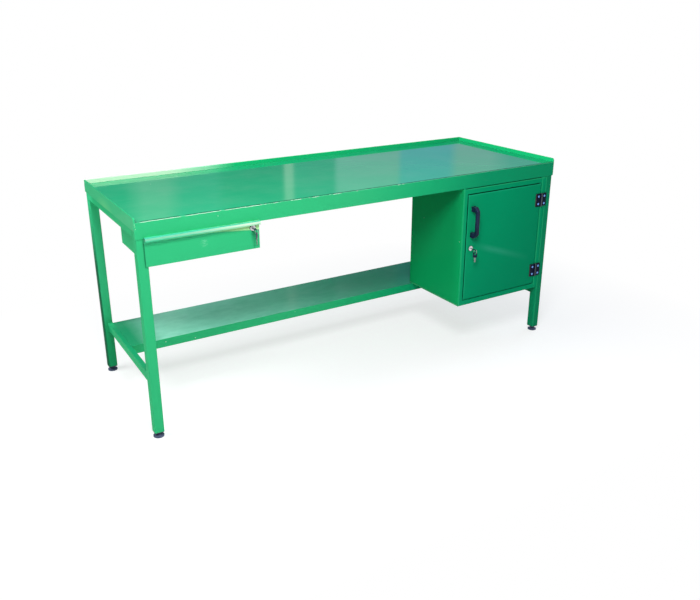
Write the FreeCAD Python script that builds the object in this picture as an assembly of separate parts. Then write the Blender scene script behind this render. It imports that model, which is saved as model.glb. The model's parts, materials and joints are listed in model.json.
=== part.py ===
import FreeCAD, Part
import math
import os

os.makedirs("parts", exist_ok=True)

# Steel workbench: a welded box-section frame on levelling feet, a folded worktop with upstands on
# three sides, a half-depth shelf low at the back, one locking drawer on telescopic runners at the
# left and one locking cupboard at the right. Millimetres. +Z is up, +X runs along the bench to the
# cupboard end and the front faces -Y. The origin is on the floor, under the middle of everything
# that the bench covers in plan, from the back edge to the key ring that stands out furthest.

# Worktop, folded from one sheet
top_length = 2000.0
top_depth = 700.0
working_height = 860.0
top_sheet = 2.5
apron_depth = 62.5
upstand_height = 18.0
upstand_corner = 12.0
end_flange_depth = 33.0

# Frame of box sections
leg_size = 38.0
leg_corner = 4.0
tube_wall = 2.0
rail_width = 30.0
rail_corner = 2.0
low_rail_height = 38.0
low_rail_width = 20.0

# Levelling feet and the plugs that hold them in the legs
foot_height = 24.0
foot_travel = 20.0
foot_pad_diameter = 42.0
foot_pad_rim = 5.0
foot_pad_height = 13.0
foot_neck_diameter = 16.0
foot_nut_across = 17.0
foot_stem_diameter = 10.0
foot_stem_length = 100.0
stem_clearance = 0.4
plug_flange = 3.0
plug_depth = 26.0
plug_clearance = 0.1

# Lower shelf
shelf_top = 238.0
shelf_rear_gap = 10.5
shelf_sheet = 1.5
shelf_lip = 38.0
shelf_return = 14.0

# Drawer housing, hung under the worktop
housing_width = 428.5
housing_height = 105.0
housing_depth = 335.0
housing_sheet = 1.2
housing_flange = 22.0
housing_back_clearance = 0.2

# Telescopic runners, one set on each side of the drawer
runner_width = 12.7
runner_height = 45.0
runner_length = 300.0
runner_sheet = 1.2
runner_gap = 0.6
runner_setback = 6.0
runner_lip_share = 0.7

# Drawer box and its front with a folded pull
drawer_sheet = 1.0
drawer_height = 84.0
drawer_floor_gap = 5.0
drawer_depth = 305.0
drawer_rim = 8.0
front_sheet = 2.0
front_gap = 0.5
front_over_leg = 13.0
front_rise = 5.5
front_overhang = 1.5
pull_reach = 16.0
pull_drop = 13.0

# Cupboard
cupboard_width = 495.0
cupboard_depth = 380.0
cupboard_sheet = 1.2
cupboard_bend = 1.2
cupboard_seat = 18.5
stile_width = 25.0
head_width = 29.5
sill_width = 25.0
jamb_depth = 18.0
head_seam = 1.5
back_flange = 15.0
back_sheet = 1.0
back_clearance = 0.3
inner_shelf_share = 0.5
inner_shelf_setback = 55.0
inner_shelf_edge = 25.0
inner_shelf_clearance = 1.5
clip_width = 18.0
clip_reach = 14.0
clip_thickness = 2.0

# Door
door_gap = 2.0
door_depth = 18.0
door_sheet = 1.2
door_flange = 12.0
door_bend = 1.2

# Hinges on the face of the door
hinge_width = 64.0
hinge_height = 62.0
hinge_leaf = 5.0
hinge_barrel_diameter = 10.4
hinge_axis_height = 5.5
hinge_pin_diameter = 5.0
hinge_pin_clearance = 0.06
hinge_knuckle_gap = 0.4
hinge_corner = 2.0
hinge_edge = 1.0
hinge_end_offset = 81.5
hinge_lower_offset = 72.0

# Bow handle
handle_pitch = 120.0
handle_foot_length = 23.0
handle_width = 22.0
handle_waist = 18.0
handle_standoff = 41.0
handle_bar = 11.0
handle_shoulder = 17.0
handle_edge = 2.5
handle_from_door_edge = 31.5
handle_below_door_top = 127.0

# Cam locks, one in the drawer and one in the door
lock_face_diameter = 22.0
lock_face_thickness = 2.5
lock_barrel_diameter = 16.0
lock_plug_diameter = 12.0
lock_plug_clearance = 0.08
lock_plug_proud = 0.4
lock_nut_across = 19.0
lock_nut_thickness = 4.0
lock_nut_clearance = 0.15
lock_tail = 6.0
lock_tail_length = 7.0
cam_width = 14.0
cam_thickness = 2.0
cam_corner = 3.0
cam_gap = 0.3
cam_nut_across = 10.0
cam_nut_thickness = 4.0
slot_clearance = 0.15
drawer_lock_from_edge = 26.5
drawer_lock_below_top = 26.5
drawer_lock_length = 20.0
drawer_cam_length = 17.0
door_lock_from_edge = 30.0
door_lock_below_handle = 126.0
door_lock_length = 20.0
door_cam_length = 42.0
strike_width = 40.0
strike_sheet = 2.0
strike_flange = 18.0
strike_drop = 10.0

# Keys and rings
key_bow_length = 24.0
key_bow_width = 20.0
key_bow_corner = 4.0
key_thickness = 2.4
key_blade_thickness = 2.0
key_blade_width = 7.5
key_blade_length = 23.0
key_neck = 8.0
key_web = 3.5
key_hole_length = 8.5
key_hole_width = 10.0
key_hole_corner = 1.0
key_cut_depth = 1.6
key_cuts = 4
key_tip = 2.5
key_rest_gap = 0.6
ring_radius = 9.5
ring_wire = 1.6

# How each set of keys hangs, in degrees: the tilt of the key in the lock, and the twist about a
# plumb line of its ring and of the spare key on the ring
drawer_key_angles = (16.0, 12.0, 52.0)
door_key_angles = (35.0, 0.0, -41.0)

overrun = 1.0

V = FreeCAD.Vector
X_AXIS = V(1, 0, 0)
Y_AXIS = V(0, 1, 0)
Z_AXIS = V(0, 0, 1)
parts = {}


def block(x, y, z):
    """Solid block between the given low and high limits."""
    return Part.makeBox(x[1] - x[0], y[1] - y[0], z[1] - z[0], V(x[0], y[0], z[0]))


def rod(start, direction, radius, length):
    """Cylinder from a point along a direction."""
    return Part.makeCylinder(radius, length, start, direction)


def prism(sides, centre, direction, across, length):
    """Regular prism along Y or Z, from a point, measured across its flats."""
    half_step = math.pi / sides
    corner_radius = across / 2 / math.cos(half_step)
    corners = []
    for step in range(sides + 1):
        angle = half_step * (2 * step + 1)
        a = corner_radius * math.cos(angle)
        b = corner_radius * math.sin(angle)
        corners.append(centre + (V(a, 0, b) if direction.y else V(a, b, 0)))
    return Part.Face(Part.makePolygon(corners)).extrude(direction * length)


def edges_along(shape, direction):
    """Straight edges of a shape that run along a direction."""
    found = []
    for edge in shape.Edges:
        run = edge.Vertexes[-1].Point - edge.Vertexes[0].Point
        if run.Length and run.cross(direction).Length < run.Length / 1000:
            found.append(edge)
    return found


def rounded(shape, direction, radius):
    """The shape with its edges along a direction rounded."""
    return shape.makeFillet(radius, edges_along(shape, direction))


def bevelled(shape, direction, size):
    """The shape with its edges along a direction cut off at 45 degrees."""
    return shape.makeChamfer(size, edges_along(shape, direction))


def hollowed(bar, direction):
    """A bar made into box section, open at both of its ends along a direction."""
    bounds = bar.BoundBox
    limits = []
    for low, high, part in ((bounds.XMin, bounds.XMax, direction.x), (bounds.YMin, bounds.YMax, direction.y),
                            (bounds.ZMin, bounds.ZMax, direction.z)):
        inset = -overrun if part else tube_wall
        limits.append((low + inset, high - inset))
    return bar.cut(block(*limits))


def sheet_face(path, sheet, place):
    """Cross-section of a folded sheet. The path is one face of the sheet, which lies to its right."""
    count = len(path)
    headings = []
    for (a0, b0), (a1, b1) in zip(path, path[1:]):
        span = math.hypot(a1 - a0, b1 - b0)
        headings.append(((a1 - a0) / span, (b1 - b0) / span))
    near = []
    far = []
    for index, (a, b) in enumerate(path):
        before = headings[max(index - 1, 0)]
        after = headings[min(index, count - 2)]
        if before == after:
            near.append([(a, b)])
            far.append([(a + after[1] * sheet, b - after[0] * sheet)])
            continue
        turn = before[0] * after[1] - before[1] * after[0]
        other = (a + (after[1] + before[1]) * sheet, b - (after[0] + before[0]) * sheet)
        # A right turn has its outer face on the path, and a left turn on the far side.
        outer, centre = ((a, b), other) if turn < 0 else (other, (a, b))
        side = sheet if turn < 0 else -sheet
        start = (outer[0] - before[0] * sheet, outer[1] - before[1] * sheet)
        end = (outer[0] + after[0] * sheet, outer[1] + after[1] * sheet)
        bisector = math.hypot(outer[0] - centre[0], outer[1] - centre[1])
        middle = (centre[0] + (outer[0] - centre[0]) * abs(side) / bisector,
                  centre[1] + (outer[1] - centre[1]) * abs(side) / bisector)
        rounded = [start, middle, end]
        near.append(rounded if turn < 0 else [(a, b)])
        far.append([other] if turn < 0 else rounded)
    corners = near + [list(reversed(corner)) for corner in reversed(far)]
    edges = []
    last = corners[-1][-1]
    for corner in corners:
        edges.append(Part.LineSegment(place(*last), place(*corner[0])).toShape())
        if len(corner) > 1:
            edges.append(Part.Arc(*[place(*point) for point in corner]).toShape())
        last = corner[-1]
    return Part.Face(Part.Wire(edges))


def folded(path, sheet, place, run):
    """Folded sheet with one cross-section all along a run."""
    return sheet_face(path, sheet, place).extrude(run)


def mirrored(shape):
    """The same piece on the other side of the bench's middle plane."""
    return shape.mirror(V(0, 0, 0), X_AXIS)


# Overall places
web_reach = lock_face_thickness + lock_plug_proud + key_neck + key_bow_length - key_web / 2
ring_turn = math.radians(abs(drawer_key_angles[1]))
key_reach = web_reach + (ring_radius + ring_wire / 2) * math.cos(ring_turn) + ring_wire / 2 * math.sin(ring_turn)
front_reach = max(front_gap + front_sheet + key_reach, handle_standoff - top_sheet)
half_length = top_length / 2
front_y = (front_reach - top_depth) / 2
rear_y = front_y + top_depth
sheet_underside = working_height - top_sheet
rail_bottom = working_height - apron_depth
leg_outer_x = half_length - top_sheet
leg_inner_x = leg_outer_x - leg_size
leg_front_y = front_y + top_sheet
leg_rear_y = rear_y - top_sheet
rails_front_y = leg_front_y + leg_size
rails_rear_y = leg_rear_y - leg_size


# Worktop: flat sheet, apron folded down at the front, hemmed upstands at the back and both ends
def hem_section(inward, place):
    """Doubled upstand: the sheet turns up, folds back on itself and runs down outside as a flange."""
    crown = working_height + upstand_height - top_sheet
    doubled = inward * 2 * top_sheet
    single = inward * top_sheet
    outline = [
        Part.LineSegment(place(doubled, sheet_underside), place(doubled, crown)),
        Part.Arc(place(doubled, crown), place(single, crown + top_sheet), place(0, crown)),
        Part.LineSegment(place(0, crown), place(0, working_height - end_flange_depth)),
        Part.LineSegment(place(0, working_height - end_flange_depth),
                         place(single, working_height - end_flange_depth)),
        Part.LineSegment(place(single, working_height - end_flange_depth), place(single, sheet_underside)),
        Part.LineSegment(place(single, sheet_underside), place(doubled, sheet_underside)),
    ]
    return Part.Face(Part.Wire([segment.toShape() for segment in outline]))


def make_worktop():
    apron = folded(
        [(front_y, rail_bottom), (front_y, working_height), (rear_y - top_sheet, working_height)],
        top_sheet, lambda y, z: V(-half_length, y, z), X_AXIS * top_length)
    rear_hem = hem_section(-1, lambda y, z: V(-half_length, rear_y + y, z)).extrude(X_AXIS * top_length)
    end_hem = hem_section(1, lambda x, z: V(x - half_length, front_y, z)).extrude(Y_AXIS * top_depth)
    # The front corner of each end upstand is rounded off.
    crown = working_height + upstand_height
    corner_y = front_y + upstand_corner
    corner_z = crown - upstand_corner
    waste = block((-half_length - overrun, -half_length + 2 * top_sheet + overrun),
                  (front_y - overrun, corner_y), (corner_z, crown + overrun))
    waste = waste.cut(rod(V(-half_length - 2 * overrun, corner_y, corner_z), X_AXIS, upstand_corner,
                          2 * top_sheet + 4 * overrun))
    end_hem = end_hem.cut(waste)
    return apron.fuse([rear_hem, end_hem, mirrored(end_hem)]).removeSplitter()


parts["worktop"] = make_worktop()

# Legs
left_x = (-leg_outer_x, -leg_inner_x)
right_x = (leg_inner_x, leg_outer_x)
leg_front = (leg_front_y, rails_front_y)
leg_rear = (rails_rear_y, leg_rear_y)
leg_z = (foot_height, sheet_underside)
leg_places = {
    "front_left": (left_x, leg_front),
    "front_right": (right_x, leg_front),
    "rear_left": (left_x, leg_rear),
    "rear_right": (right_x, leg_rear),
}
for place_name, (leg_x, leg_y) in leg_places.items():
    parts["leg_" + place_name] = hollowed(rounded(block(leg_x, leg_y, leg_z), Z_AXIS, leg_corner), Z_AXIS)

# Top rails and cross bearers, all one section under the sheet
rail_z = (rail_bottom, sheet_underside)
between_legs_x = (-leg_inner_x, leg_inner_x)
between_legs_y = (rails_front_y, rails_rear_y)
front_rail_y = (leg_front_y, leg_front_y + rail_width)
rear_rail_y = (leg_rear_y - rail_width, leg_rear_y)
bearer_y = (front_rail_y[1], rear_rail_y[0])
left_rail_x = (-leg_outer_x, -leg_outer_x + rail_width)
right_rail_x = (leg_outer_x - rail_width, leg_outer_x)
housing_left = -leg_inner_x
housing_right = housing_left + housing_width
cupboard_right = leg_inner_x
cupboard_left = cupboard_right - cupboard_width
drawer_bearer_x = (housing_right, housing_right + rail_width)
cupboard_bearer_x = (cupboard_left, cupboard_left + rail_width)
rails = {
    "top_rail_front": (between_legs_x, front_rail_y, X_AXIS),
    "top_rail_rear": (between_legs_x, rear_rail_y, X_AXIS),
    "top_rail_left": (left_rail_x, between_legs_y, Y_AXIS),
    "top_rail_right": (right_rail_x, between_legs_y, Y_AXIS),
    "cross_bearer_drawer": (drawer_bearer_x, bearer_y, Y_AXIS),
    "cross_bearer_cupboard": (cupboard_bearer_x, bearer_y, Y_AXIS),
}
for rail_name, (rail_x, rail_y, direction) in rails.items():
    parts[rail_name] = hollowed(bevelled(block(rail_x, rail_y, rail_z), direction, rail_corner), direction)

# Low end rails, flush with the inner faces of the legs
low_rail_x = (-leg_inner_x - low_rail_width, -leg_inner_x)
low_rail_z = (shelf_top - low_rail_height, shelf_top)
low_rail = block(low_rail_x, between_legs_y, low_rail_z)
parts["low_rail_left"] = hollowed(rounded(low_rail, Y_AXIS, rail_corner), Y_AXIS)
parts["low_rail_right"] = mirrored(parts["low_rail_left"])

# Lower shelf: a tray turned upside down, with its long edges folded down and under. The back of the
# cupboard stands on it.
cupboard_y = (leg_front_y, leg_front_y + cupboard_depth)
shelf_y = (cupboard_y[1] - cupboard_seat, rails_rear_y - shelf_rear_gap)
shelf_foot = shelf_top - shelf_lip
parts["lower_shelf"] = folded(
    [(shelf_y[0] + shelf_return, shelf_foot), (shelf_y[0], shelf_foot), (shelf_y[0], shelf_top),
     (shelf_y[1], shelf_top), (shelf_y[1], shelf_foot), (shelf_y[1] - shelf_return, shelf_foot)],
    shelf_sheet, lambda y, z: V(-leg_inner_x, y, z), X_AXIS * 2 * leg_inner_x)


# Leg plugs and levelling feet
def leg_centre(place_name):
    (x0, x1), (y0, y1) = leg_places[place_name]
    return V((x0 + x1) / 2, (y0 + y1) / 2, 0)


def make_leg_plug(centre):
    """Square plastic plug pressed into the leg, with a flange under its end and a bore for the stem."""
    inside = leg_size / 2 - tube_wall - plug_clearance
    flange = block((-leg_size / 2, leg_size / 2), (-leg_size / 2, leg_size / 2), (-plug_flange, 0))
    flange = bevelled(flange, Z_AXIS, leg_corner)
    core = block((-inside, inside), (-inside, inside), (-plug_flange / 2, plug_depth))
    bore = rod(V(0, 0, -plug_flange - overrun), Z_AXIS, foot_stem_diameter / 2 + stem_clearance,
               plug_flange + plug_depth + 2 * overrun)
    plug = flange.fuse(core).cut(bore)
    plug.translate(centre + V(0, 0, foot_height))
    return plug


def make_foot(centre):
    """Levelling foot: a flared pad, a hexagon to turn it by and a stem up into the plug."""
    radius = foot_pad_diameter / 2
    nut_top = foot_height - plug_flange
    outline = Part.makePolygon([
        V(0, 0, 0), V(radius, 0, 0), V(radius, 0, foot_pad_rim), V(foot_neck_diameter / 2, 0, foot_pad_height),
        V(0, 0, foot_pad_height), V(0, 0, 0)])
    pad = Part.Face(outline).revolve(V(0, 0, 0), Z_AXIS, 360)
    nut = prism(6, V(0, 0, foot_pad_height), Z_AXIS, foot_nut_across, nut_top - foot_pad_height)
    stem = rod(V(0, 0, nut_top), Z_AXIS, foot_stem_diameter / 2, foot_stem_length)
    foot = pad.fuse([nut, stem])
    foot.translate(centre)
    return foot


parts["leg_plugs"] = Part.makeCompound([make_leg_plug(leg_centre(name)) for name in leg_places])
for place_name in leg_places:
    parts["foot_" + place_name] = make_foot(leg_centre(place_name))


def punch_lock_hole(node, seat, depth):
    """Cut an eight-sided clearance hole for a lock's barrel through a node, back from a point."""
    across = lock_barrel_diameter + 2 * lock_nut_clearance
    hole = prism(8, seat - Y_AXIS * overrun, Y_AXIS, across, depth + 2 * overrun)
    parts[node] = parts[node].cut(hole)


# Drawer housing: a folded channel with outward flanges at its top and a plate across its back
housing_z = (rail_bottom - housing_height, rail_bottom)
housing_y = (leg_front_y, leg_front_y + housing_depth)
housing_inner_x = (housing_left + housing_sheet, housing_right - housing_sheet)
housing_floor = housing_z[0] + housing_sheet


def make_drawer_housing():
    channel = folded(
        [(housing_left - housing_flange, housing_z[1]), (housing_inner_x[0], housing_z[1]),
         (housing_inner_x[0], housing_floor), (housing_inner_x[1], housing_floor),
         (housing_inner_x[1], housing_z[1]), (housing_right + housing_flange, housing_z[1])],
        housing_sheet, lambda x, z: V(x, housing_y[0], z), Y_AXIS * housing_depth)
    # The left flange starts behind the front leg, and the right one behind the front rail.
    left_notch = block((housing_left - housing_flange - overrun, housing_left),
                       (housing_y[0] - overrun, rails_front_y), (housing_floor, housing_z[1] + overrun))
    right_notch = block((housing_right, housing_right + housing_flange + overrun),
                        (housing_y[0] - overrun, front_rail_y[1]), (housing_floor, housing_z[1] + overrun))
    back = block(housing_inner_x, (housing_y[1] - housing_sheet, housing_y[1]),
                 (housing_floor, housing_z[1] - housing_back_clearance))
    return channel.cut([left_notch, right_notch]).fuse(back)


parts["drawer_housing"] = make_drawer_housing()

# Telescopic runners: a fixed outer member, a middle member and an inner member on the drawer
runner_y = (housing_y[0] + runner_setback, housing_y[0] + runner_setback + runner_length)
runner_middle_z = housing_floor + drawer_floor_gap + drawer_height / 2
box_left = housing_inner_x[0] + runner_width
box_right = housing_inner_x[1] - runner_width


def channel_member(web_x, tip_x, half_height):
    """Runner member with a web at one depth and lips towards another, between given heights."""
    material_right = tip_x < web_x
    low = runner_middle_z - half_height
    high = runner_middle_z + half_height
    path = [(tip_x, low), (web_x, low), (web_x, high), (tip_x, high)]
    if material_right:
        path.reverse()
    return folded(path, runner_sheet, lambda x, z: V(x, runner_y[0], z), Y_AXIS * runner_length)


def make_runner(wall_x, inward):
    """Outer, middle and inner members, nested from the housing wall towards the drawer."""
    step = runner_sheet + runner_gap
    outer_half = runner_height / 2
    lip = runner_width * runner_lip_share
    outer = channel_member(wall_x, wall_x + inward * lip, outer_half)
    middle_x = wall_x + inward * step
    middle = channel_member(middle_x, wall_x + inward * (runner_width - step), outer_half - step)
    drawer_x = wall_x + inward * runner_width
    inner = channel_member(drawer_x, middle_x + inward * step, outer_half - 2 * step)
    return outer, middle, inner


for side, wall_x, inward in (("left", housing_inner_x[0], 1), ("right", housing_inner_x[1], -1)):
    outer, middle, inner = make_runner(wall_x, inward)
    parts["runner_outer_" + side] = outer
    parts["runner_middle_" + side] = middle
    parts["runner_inner_" + side] = inner

# Drawer box: two sides whose top edges turn out over the runners, with a floor and two end plates
# welded between them
front_back_y = front_y - front_gap
front_face_y = front_back_y - front_sheet
box_y = (front_back_y, front_back_y + drawer_depth)
box_floor = housing_floor + drawer_floor_gap
box_top = box_floor + drawer_height


def make_drawer_box():
    under_rim = box_top - drawer_sheet
    side_paths = [
        [(box_right + drawer_rim, under_rim), (box_right, under_rim), (box_right, box_floor)],
        [(box_left, box_floor), (box_left, under_rim), (box_left - drawer_rim, under_rim)]]
    pieces = [folded(path, drawer_sheet, lambda x, z: V(x, box_y[0], z), Y_AXIS * drawer_depth)
              for path in side_paths]
    plate_x = (box_left + drawer_sheet, box_right - drawer_sheet)
    floor_z = (box_floor, box_floor + drawer_sheet)
    plate_z = (floor_z[1], box_top)
    pieces.append(block(plate_x, box_y, floor_z))
    pieces.append(block(plate_x, (box_y[0], box_y[0] + drawer_sheet), plate_z))
    pieces.append(block(plate_x, (box_y[1] - drawer_sheet, box_y[1]), plate_z))
    return Part.makeCompound(pieces)


parts["drawer_box"] = make_drawer_box()

# Drawer front: one thick sheet over the box and the leg, its top edge folded out and down as a pull
front_x = (housing_left - front_over_leg, housing_right + front_overhang)
front_top = rail_bottom + front_rise
front_foot = housing_z[0] + front_overhang
parts["drawer_front"] = folded(
    [(front_face_y, front_foot), (front_face_y, front_top - front_sheet),
     (front_face_y - pull_reach + front_sheet, front_top - front_sheet),
     (front_face_y - pull_reach + front_sheet, front_top - pull_drop)],
    front_sheet, lambda y, z: V(front_x[0], y, z), X_AXIS * (front_x[1] - front_x[0]))


# Cam locks
def make_key():
    """Flat key with a hole in its bow. Its origin is the middle of the web beyond the hole."""
    bow_end = key_web / 2
    bow_start = bow_end - key_bow_length
    half = key_bow_width / 2
    bow = block((bow_start, bow_end), (-half, half), (-key_thickness / 2, key_thickness / 2))
    bow = bevelled(bow, Z_AXIS, key_bow_corner)
    hole = block((-key_web / 2 - key_hole_length, -key_web / 2),
                 (-key_hole_width / 2, key_hole_width / 2), (-key_thickness, key_thickness))
    hole = bevelled(hole, Z_AXIS, key_hole_corner)
    # The blade's lower edge has even cuts along it, and its tip comes to a blunt point.
    tip = bow_start - key_blade_length
    low = -key_blade_width / 2
    outline = [(bow_start + key_web, low), (bow_start - key_neck, low)]
    pitch = (key_blade_length - key_neck - key_tip) / key_cuts
    for cut in range(key_cuts):
        start = bow_start - key_neck - cut * pitch
        outline.append((start - pitch / 3, low + key_cut_depth))
        outline.append((start - pitch * 2 / 3, low + key_cut_depth))
        outline.append((start - pitch, low))
    outline += [(tip, 0), (tip + key_tip, -low), (bow_start + key_web, -low)]
    corners = [V(a, b, -key_blade_thickness / 2) for a, b in outline]
    blade = Part.Face(Part.makePolygon(corners + corners[:1])).extrude(Z_AXIS * key_blade_thickness)
    return bow.fuse(blade).cut(hole)


def place_at(shape, origin, along, across):
    """A copy of a shape with its X turned along one direction and its Y across another."""
    turn = FreeCAD.Rotation(along, across, along.cross(across), "XYZ")
    moved = shape.copy()
    moved.Placement = FreeCAD.Placement(origin, turn)
    return moved


def turned_about_z(angle):
    return V(math.cos(math.radians(angle)), math.sin(math.radians(angle)), 0)


def make_lock(prefix, centre, length, grip, cam_heading, cam_length, key_angles):
    """Whole cam lock in a panel whose face passes through the centre point, with its keys."""
    face = lock_face_thickness
    barrel = lock_barrel_diameter / 2
    bore = lock_plug_diameter / 2
    rim = lock_face_diameter / 2
    outline = Part.makePolygon([
        V(bore, -face, 0), V(rim, -face, 0), V(rim, 0, 0), V(barrel, 0, 0), V(barrel, length, 0),
        V(bore, length, 0), V(bore, -face, 0)])
    body = Part.Face(outline).revolve(V(0, 0, 0), Y_AXIS, 360)
    nut = prism(6, V(0, grip, 0), Y_AXIS, lock_nut_across, lock_nut_thickness)
    nut = nut.cut(rod(V(0, grip - overrun, 0), Y_AXIS, barrel + lock_nut_clearance,
                      lock_nut_thickness + 2 * overrun))
    # The plug turns in the barrel, and its square tail carries the cam.
    plug_front = -face - lock_plug_proud
    plug_back = length + cam_gap / 2
    plug = rod(V(0, plug_front, 0), Y_AXIS, bore - lock_plug_clearance, plug_back - plug_front)
    tail = block((-lock_tail / 2, lock_tail / 2), (plug_back, plug_back + lock_tail_length),
                 (-lock_tail / 2, lock_tail / 2))
    cam_y = plug_back + cam_gap / 2
    cam_half = cam_width / 2
    cam = block((-cam_half, cam_length), (cam_y, cam_y + cam_thickness), (-cam_half, cam_half))
    cam = bevelled(cam, Y_AXIS, cam_corner)
    square = lock_tail / 2 + slot_clearance
    cam = cam.cut(block((-square, square), (cam_y - overrun, cam_y + cam_thickness + overrun),
                        (-square, square)))
    cam_nut_y = cam_y + cam_thickness
    cam_nut = prism(6, V(0, cam_nut_y, 0), Y_AXIS, cam_nut_across, cam_nut_thickness)
    cam_nut = cam_nut.cut(block((-square, square), (cam_nut_y - overrun, cam_nut_y + cam_nut_thickness + overrun),
                                (-square, square)))
    for piece in (cam, cam_nut):
        piece.rotate(V(0, 0, 0), Y_AXIS, cam_heading)
    # The key stands in the plug, tilted from level, with its bow clear of the face.
    key_tilt, ring_twist, spare_twist = key_angles
    tilt = math.radians(key_tilt)
    across = V(-math.cos(tilt), 0, math.sin(tilt))
    web_y = -web_reach
    key = place_at(make_key(), V(0, web_y, 0), -Y_AXIS, across)
    slot_half = key_blade_thickness / 2 + slot_clearance
    slot_reach = key_neck - key_blade_length - slot_clearance
    slot = block((slot_reach, overrun),
                 (-key_blade_width / 2 - slot_clearance, key_blade_width / 2 + slot_clearance),
                 (-slot_half, slot_half))
    plug = plug.fuse(tail).cut(place_at(slot, V(0, plug_front, 0), -Y_AXIS, across))
    # The ring of flat wire hangs on the key's web, and the spare key hangs on the ring.
    inside_ring = ring_radius - ring_wire / 2 - key_rest_gap
    web_rise = key_thickness / 2 / math.cos(tilt) + ring_wire / 2 * math.tan(tilt)
    ring_centre = V(0, web_y, web_rise - inside_ring)
    ring_axis = turned_about_z(ring_twist)
    ring_start = ring_centre - ring_axis * ring_wire / 2
    ring = rod(ring_start, ring_axis, ring_radius + ring_wire / 2, ring_wire)
    ring = ring.cut(rod(ring_start, ring_axis, ring_radius - ring_wire / 2, ring_wire))
    spare_web = ring_centre - V(0, 0, inside_ring - key_web / 2)
    spare = place_at(make_key(), spare_web, Z_AXIS, turned_about_z(spare_twist))
    pieces = {"lock_body": body, "lock_nut": nut, "lock_plug": plug,
              "lock_cam": Part.makeCompound([cam, cam_nut]),
              "key": key, "key_ring": ring, "spare_key": spare}
    for name, piece in pieces.items():
        piece.translate(centre)
        parts[prefix + "_" + name] = piece


drawer_lock_centre = V(front_x[1] - drawer_lock_from_edge, front_face_y, front_top - drawer_lock_below_top)
make_lock("drawer", drawer_lock_centre, drawer_lock_length, front_sheet + drawer_sheet, 180,
          drawer_cam_length, drawer_key_angles)
for node in ("drawer_front", "drawer_box"):
    punch_lock_hole(node, drawer_lock_centre, front_sheet + drawer_sheet)

# Strike: an angle under the front rail that the drawer's cam turns up behind
strike_back_y = front_face_y + drawer_lock_length
strike_x = (drawer_lock_centre.x - strike_width / 2, drawer_lock_centre.x + strike_width / 2)
strike_edge_y = strike_back_y - strike_sheet
parts["drawer_lock_strike"] = folded(
    [(strike_edge_y, rail_bottom - strike_drop), (strike_edge_y, rail_bottom),
     (strike_edge_y + strike_flange, rail_bottom)],
    strike_sheet, lambda y, z: V(strike_x[0], y, z), X_AXIS * strike_width)

# Cupboard: wrapped sides, top and bottom, a face frame with a jamb behind it and a flanged back
cupboard_x = (cupboard_left, cupboard_right)
cupboard_z = (shelf_top, rail_bottom)
opening_x = (cupboard_left + stile_width, cupboard_right - stile_width)
opening_z = (cupboard_z[0] + sill_width, cupboard_z[1] - head_width)
inside_x = (cupboard_x[0] + cupboard_sheet, cupboard_x[1] - cupboard_sheet)
inside_z = (cupboard_z[0] + cupboard_sheet, cupboard_z[1] - cupboard_sheet)


def grown(limits, amount):
    return (limits[0] - amount, limits[1] + amount)


def eased_front(shape, size):
    """A block with every edge cut off at 45 degrees but the four at its back."""
    back_y = shape.BoundBox.YMax
    return shape.makeChamfer(size, [edge for edge in shape.Edges
                                    if any(vertex.Y < back_y for vertex in edge.Vertexes)])


def make_cupboard():
    through_y = grown(cupboard_y, overrun)
    face_y = (cupboard_y[0], cupboard_y[0] + cupboard_sheet)
    wrap = eased_front(block(cupboard_x, cupboard_y, cupboard_z), cupboard_bend)
    wrap = wrap.cut(block(inside_x, (face_y[1], through_y[1]), inside_z))
    jamb_y = (cupboard_y[0], cupboard_y[0] + jamb_depth)
    jamb = block(grown(opening_x, cupboard_sheet), jamb_y, grown(opening_z, cupboard_sheet))
    back_y = (cupboard_y[1] - cupboard_sheet, cupboard_y[1])
    back = block(inside_x, back_y, inside_z)
    back = back.cut(block(grown(inside_x, -back_flange), through_y, grown(inside_z, -back_flange)))
    shell = wrap.fuse([jamb, back])
    shell = shell.cut(block(opening_x, (cupboard_y[0] - overrun, jamb_y[1] + overrun), opening_z))
    # A narrow seam shows between the head of the face frame and the apron, from stile to stile.
    seam = block(opening_x, (cupboard_y[0] - overrun, face_y[1]),
                 (cupboard_z[1] - head_seam, cupboard_z[1] + overrun))
    return shell.cut(seam).removeSplitter()


parts["cupboard"] = make_cupboard()
parts["cupboard_back"] = block(grown(inside_x, -back_clearance),
                               (cupboard_y[1] - cupboard_sheet - back_sheet, cupboard_y[1] - cupboard_sheet),
                               grown(inside_z, -back_clearance))

# Shelf inside the cupboard, on four clips
inner_shelf_top = inside_z[0] + inner_shelf_share * (inside_z[1] - inside_z[0])
inner_shelf_y = (cupboard_y[0] + inner_shelf_setback,
                 cupboard_y[1] - cupboard_sheet - back_sheet - inner_shelf_clearance)
inner_shelf_x = grown(inside_x, -inner_shelf_clearance)
inner_shelf_foot = inner_shelf_top - inner_shelf_edge
parts["cupboard_shelf"] = folded(
    [(inner_shelf_y[0] + clip_reach, inner_shelf_foot), (inner_shelf_y[0], inner_shelf_foot),
     (inner_shelf_y[0], inner_shelf_top), (inner_shelf_y[1], inner_shelf_top),
     (inner_shelf_y[1], inner_shelf_foot), (inner_shelf_y[1] - clip_reach, inner_shelf_foot)],
    cupboard_sheet, lambda y, z: V(inner_shelf_x[0], y, z), X_AXIS * (inner_shelf_x[1] - inner_shelf_x[0]))
clip_top = inner_shelf_foot
clips = []
for wall_x, inward in ((inside_x[0], 1), (inside_x[1], -1)):
    for clip_centre in (inner_shelf_y[0] + clip_reach, inner_shelf_y[1] - clip_reach):
        path = [(wall_x, clip_top - clip_reach), (wall_x, clip_top), (wall_x + inward * clip_reach, clip_top)]
        if inward < 0:
            path.reverse()
        clips.append(folded(path, clip_thickness,
                            lambda x, z: V(x, clip_centre - clip_width / 2, z), Y_AXIS * clip_width))
parts["shelf_clips"] = Part.makeCompound(clips)

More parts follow.
